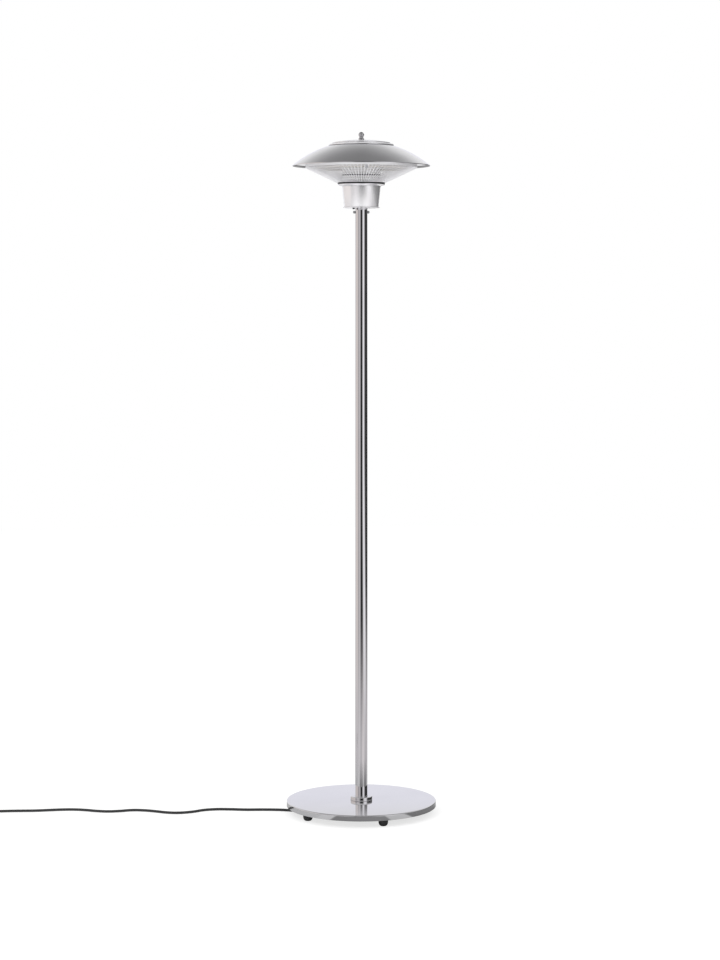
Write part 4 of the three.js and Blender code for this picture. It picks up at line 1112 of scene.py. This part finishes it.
def make_cap():
    """The tray with its turned-down lip, the spacers under it and the dome on it."""
    radius, low, high = span("cap_tray")
    hole, flat, gap = 4.4, 78, 3
    inside = SHADE_SPHERE + gap
    flat_low = SPHERE_MIDDLE + math.sqrt(inside**2 - flat**2)
    outline = [(hole, flat_low)] + arc(inside, SPHERE_MIDDLE, flat, radius - 2.2, 8)
    outline += [(radius - 1.9, low - 1.6), (radius - 0.9, low - 2)]
    outline += [(radius - 0.1, low - 1.4), (radius, low + 0.2)]
    outline += arc(inside + SHEET, SPHERE_MIDDLE, radius - 0.5, flat, 8) + [(hole, high)]
    turned("tray_skin", outline, "satin", "cap_tray")

    spacer_radius, spacer_size = 85, (9.6, 16.6, 2.4)
    tilt = Matrix.Rotation(math.asin(spacer_radius / SHADE_SPHERE), 4, "Y")
    for i in range(1, 5):
        node = f"cap_spacer_{i}"
        middle = middle_of(node)
        turn = Matrix.Rotation(math.atan2(middle.y, middle.x), 4, "Z")
        mesh = bmesh.new()
        place = turn @ Matrix.Translation((spacer_radius, 0, middle.z)) @ tilt
        add_block(mesh, spacer_size, 0.5, place)
        dress(finish_mesh(f"spacer_post_{i}", mesh), "zinc", node)

    radius, low, high = span("top_cap")
    curve = 480
    middle = high - math.sqrt(curve**2 - hole**2)
    shoulder = middle + math.sqrt(curve**2 - radius**2)
    outline = [(radius - SHEET, low), (radius, low, 0.3), (radius, shoulder, 2)]
    outline += arc(curve, middle, radius - 1, hole, 24)
    outline += arc(curve - SHEET, middle, hole, radius - SHEET, 24)
    turned("dome_skin", outline, "satin", "top_cap")


def make_finial():
    """A cap nut: a foot, a neck and a ball, with a blind hole for the tie rod."""
    _, low, high = span("cap_nut")
    ball, hole, foot, neck = 8.8, 4.3, 9, 6.2
    centre = high - ball
    outline = [
        (0, low + 14), (hole, low + 14), (hole, low), (foot, low, 0.6), (foot, low + 3.2, 1),
        (6.6, low + 6, 1.2), (neck, low + 8.6),
    ]
    steps = 24
    start = -math.acos((neck + 0.1) / ball)
    for k in range(steps + 1):
        angle = start + (math.pi / 2 - start) * k / steps
        outline.append((max(ball * math.cos(angle), 0), centre + ball * math.sin(angle)))
    turned("finial", outline, "chrome", "cap_nut", sides=64)


# ---- studio

FLOOR_RADIUS = 9000
FLOOR_HEIGHT = -0.4
FLOOR_COLOR = (0.93, 0.93, 0.93)
FLOOR_GLOW = 1.2
FLOOR_GLOW_SHARE = 0.6
WORLD_LIGHT = 0.8
# The lamps' places and sizes are in metres, their power in watts.
LAMP_AIM_HEIGHT = 1
LAMPS = [
    ("key_light", (-2.6, -3.4, 3.6), 2.4, 70),
    ("fill_light", (3.4, -2.2, 2.8), 3.0, 30),
    ("floor_bounce", (-0.8, -2.6, 0.35), 1.6, 26),
]
# What polished metal shows of the floor near the base, by degrees from the front towards +X.
MIRRORED_FLOOR = [
    (-180, 0.55), (-47, 0.55), (-45, 0.62), (-31, 0.62), (-29, 0.24), (27, 0.26),
    (29, 0.56), (51, 0.58), (54, 0.2), (100, 0.25), (120, 0.55),
]
MIRRORED_FLOOR_FADE = (450, 900)
MIRRORED_FLOOR_HEIGHT = -0.2
# What metal shows round the horizon, by the same degrees.
STUDIO_WALLS = [
    (-180, (0.85, 0.85, 0.92)), (-176, (0.85, 0.85, 0.92)), (-171, (0.93, 0.93, 1.0)), (-142, 0.92),
    (-132, (0.66, 0.61, 0.59)), (-107, (0.79, 0.73, 0.70)), (-72, (0.80, 0.73, 0.69)),
    (-62, (0.50, 0.48, 0.48)), (-54, (0.36, 0.35, 0.36)), (-46, (0.60, 0.57, 0.57)),
    (-30, (0.62, 0.59, 0.60)), (-17, 0.45), (-9, 0.03), (15, 0.015), (21, 0.25), (29, 0.85),
    (42, (0.98, 0.96, 1.0)), (54, 0.9), (62, 0.3), (70, 0.05), (141, 0.03), (152, 0.2), (160, 0.85),
    (171, (0.93, 0.93, 1.0)), (176, (0.85, 0.85, 0.92)), (180, (0.85, 0.85, 0.92)),
]
WALL_LEAN = 2.9  # the walls' right half spreads out below the horizon
FAR_FLOOR = [
    (-180, (0.64, 0.62, 0.63)), (-60, (0.64, 0.62, 0.63)), (-35, (0.72, 0.70, 0.71)),
    (0, (0.56, 0.54, 0.55)), (30, (0.86, 0.82, 0.82)), (50, (0.74, 0.71, 0.71)),
    (80, (0.54, 0.52, 0.53)), (180, (0.64, 0.62, 0.63)),
]
FLOOR_HORIZON = (-11, -5)
NEAR_FLOOR = [
    (-180, 0.9), (-125, 0.72), (-66, 0.72), (-52, 1.1), (-26, 1.12), (-13, 0.9), (0, 0.82), (10, 0.95),
    (22, 1.12), (46, 1.12), (62, 0.85), (84, 0.5), (105, 0.4), (135, 0.5), (150, 0.88), (180, 0.9),
]
NEAR_FLOOR_ENDS = (-17, -12)
# What metal shows above, by degrees over the horizon. The walls rise higher away from the back's middle.
STUDIO_CEILING = [
    (0, 0.92), (14, 0.84), (18, 0.80), (24, 0.73), (31, 0.56), (38, 0.44), (50, 0.30), (60, 0.235),
    (75, 0.21),
]
WALL_RISE = [(-180, 0.0), (-177, 0.0), (-167, 0.15), (-60, 0.24), (60, 0.3), (165, 0.34), (177, 0.0)]
WALL_TOP = (10, 24)


def stage_disc(name, radius, height):
    """A flat round stage piece, and its material's emptied nodes."""
    mesh = bmesh.new()
    bmesh.ops.create_circle(mesh, cap_ends=True, segments=128, radius=radius * MM)
    disc = finish_mesh(name, mesh)
    disc.location.z = height * MM
    material = bpy.data.materials.new(name)
    material.use_nodes = True
    material.node_tree.nodes.clear()
    disc.data.materials.append(material)
    return disc, Nodes(material.node_tree)


def make_floor():
    """A pale round floor that is almost white to the camera and keeps the shadow."""
    floor, nodes = stage_disc("floor", FLOOR_RADIUS, FLOOR_HEIGHT)
    matt = nodes.node("ShaderNodeBsdfDiffuse", {"Color": (*FLOOR_COLOR, 1)}).outputs[0]
    glow = nodes.node("ShaderNodeEmission", {"Strength": FLOOR_GLOW}).outputs[0]
    rays = nodes.node("ShaderNodeLightPath").outputs
    seen = nodes.math("MAXIMUM", rays["Is Camera Ray"], rays["Is Transmission Ray"])
    mixed = nodes.mix_shaders(nodes.math("MULTIPLY", seen, FLOOR_GLOW_SHARE), matt, glow)
    nodes.node("ShaderNodeOutputMaterial", {"Surface": mixed})
    floor.visible_glossy = False


def make_mirrored_floor():
    """The floor near the base as polished metal shows it: grey, with darker sectors. It fades outward."""
    start, end = MIRRORED_FLOOR_FADE
    disc, nodes = stage_disc("mirrored_floor", end, MIRRORED_FLOOR_HEIGHT)
    place = nodes.place("Object")
    x, y, _ = nodes.split(place)
    sectors = nodes.by_azimuth(MIRRORED_FLOOR, nodes.azimuth(x, y))
    matt = nodes.node("ShaderNodeBsdfDiffuse", {"Color": sectors}).outputs[0]
    distance = nodes.node("ShaderNodeVectorMath", {0: place}, operation="LENGTH").outputs["Value"]
    fade = nodes.between(distance, 0, 1, start * MM, end * MM)
    clear = nodes.node("ShaderNodeBsdfTransparent").outputs[0]
    nodes.node("ShaderNodeOutputMaterial", {"Surface": nodes.mix_shaders(fade, matt, clear)})
    for kind in ("camera", "diffuse", "shadow", "transmission"):
        setattr(disc, f"visible_{kind}", False)


def make_surroundings(nodes):
    """What metal and glass show: floor, walls and ceiling, as a colour for each direction."""
    x, y, height = nodes.split(nodes.place("Generated"))
    azimuth = nodes.azimuth(x, y)
    lean = nodes.math("ADD", nodes.math("MULTIPLY", nodes.math("MINIMUM", height), WALL_LEAN), 1)
    right = nodes.math("MULTIPLY", nodes.math("MAXIMUM", azimuth), lean)
    leaned = nodes.math("ADD", right, nodes.math("MINIMUM", azimuth))
    walls = nodes.by_azimuth(STUDIO_WALLS, leaned)
    rise = nodes.by_azimuth(WALL_RISE, azimuth)
    raised = nodes.math("MULTIPLY", height, nodes.math("ADD", rise, 1))
    ceiling_stops = [(math.sin(math.radians(e)), color) for e, color in STUDIO_CEILING]
    ceiling = nodes.ramp(ceiling_stops, nodes.math("SUBTRACT", raised, rise))

    def blend(ends, first, second):
        """Goes from one colour to another as the height passes two elevations, in degrees."""
        start, end = (math.sin(math.radians(degrees)) for degrees in ends)
        share = nodes.between(height, 0, 1, start, end, interpolation_type="SMOOTHSTEP")
        return nodes.mix(share, first, second)

    near_floor = nodes.by_azimuth(NEAR_FLOOR, azimuth)
    floor = blend(NEAR_FLOOR_ENDS, near_floor, nodes.by_azimuth(FAR_FLOOR, azimuth))
    return blend(WALL_TOP, blend(FLOOR_HORIZON, floor, walls), ceiling)


def make_world():
    """White to the camera, even light for matt surfaces, and a studio for metal and glass."""
    world = bpy.data.worlds.new("studio")
    bpy.context.scene.world = world
    world.use_nodes = True
    world.node_tree.nodes.clear()
    nodes = Nodes(world.node_tree)
    sockets = {"Color": make_surroundings(nodes)}
    studio = nodes.node("ShaderNodeBackground", sockets).outputs[0]
    sockets = {"Color": (1, 1, 1, 1), "Strength": WORLD_LIGHT}
    even = nodes.node("ShaderNodeBackground", sockets).outputs[0]
    white = nodes.node("ShaderNodeBackground", {"Color": (1, 1, 1, 1)}).outputs[0]
    rays = nodes.node("ShaderNodeLightPath").outputs
    clear = nodes.math("MAXIMUM", rays["Is Camera Ray"], rays["Is Transmission Ray"])
    unseen = nodes.mix_shaders(rays["Is Glossy Ray"], even, studio)
    nodes.node("ShaderNodeOutputWorld", {"Surface": nodes.mix_shaders(clear, unseen, white)})


def make_lights():
    for name, place, size, power in LAMPS:
        data = bpy.data.lights.new(name, "AREA")
        data.shape = "SQUARE"
        data.size = size
        data.energy = power
        lamp = add_object(name, data)
        lamp.location = place
        aim = Vector((0, 0, LAMP_AIM_HEIGHT)) - Vector(place)
        lamp.rotation_euler = aim.to_track_quat("-Z", "Y").to_euler()
        lamp.visible_glossy = False


# ---- the CAD nodes that stay

POLE_FOOT_SCREWS = [f"pole_foot_screw_{i}" for i in (1, 2, 3)]
KEPT_NODES = {
    "zinc": ["pole_foot", "head_mount", "tie_rod", "tie_rod_nut", *POLE_FOOT_SCREWS],
    "plastic": ["switch_body"],
    "ceramic": ["terminal_block"],
    "sleeve": ["lamp_lead_1", "lamp_lead_2"],
}


def dress_nodes():
    for finish, nodes in KEPT_NODES.items():
        for node in nodes:
            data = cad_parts[node].data
            data.materials.clear()
            data.materials.append(FINISHES[finish][0])


make_camera()
make_cord()
make_base()
make_feet()
make_collar()
make_cord_clamp()
make_inner_cable()
make_pole()
make_cup()
make_button()
make_head_plate()
make_pedestal_and_drum()
make_reflector()
make_grille()
make_lamp()
make_lamp_clips()
make_shade()
make_cap()
make_finial()
dress_nodes()
make_floor()
make_mirrored_floor()
make_world()
make_lights()

bpy.context.scene.view_settings.view_transform = "Standard"
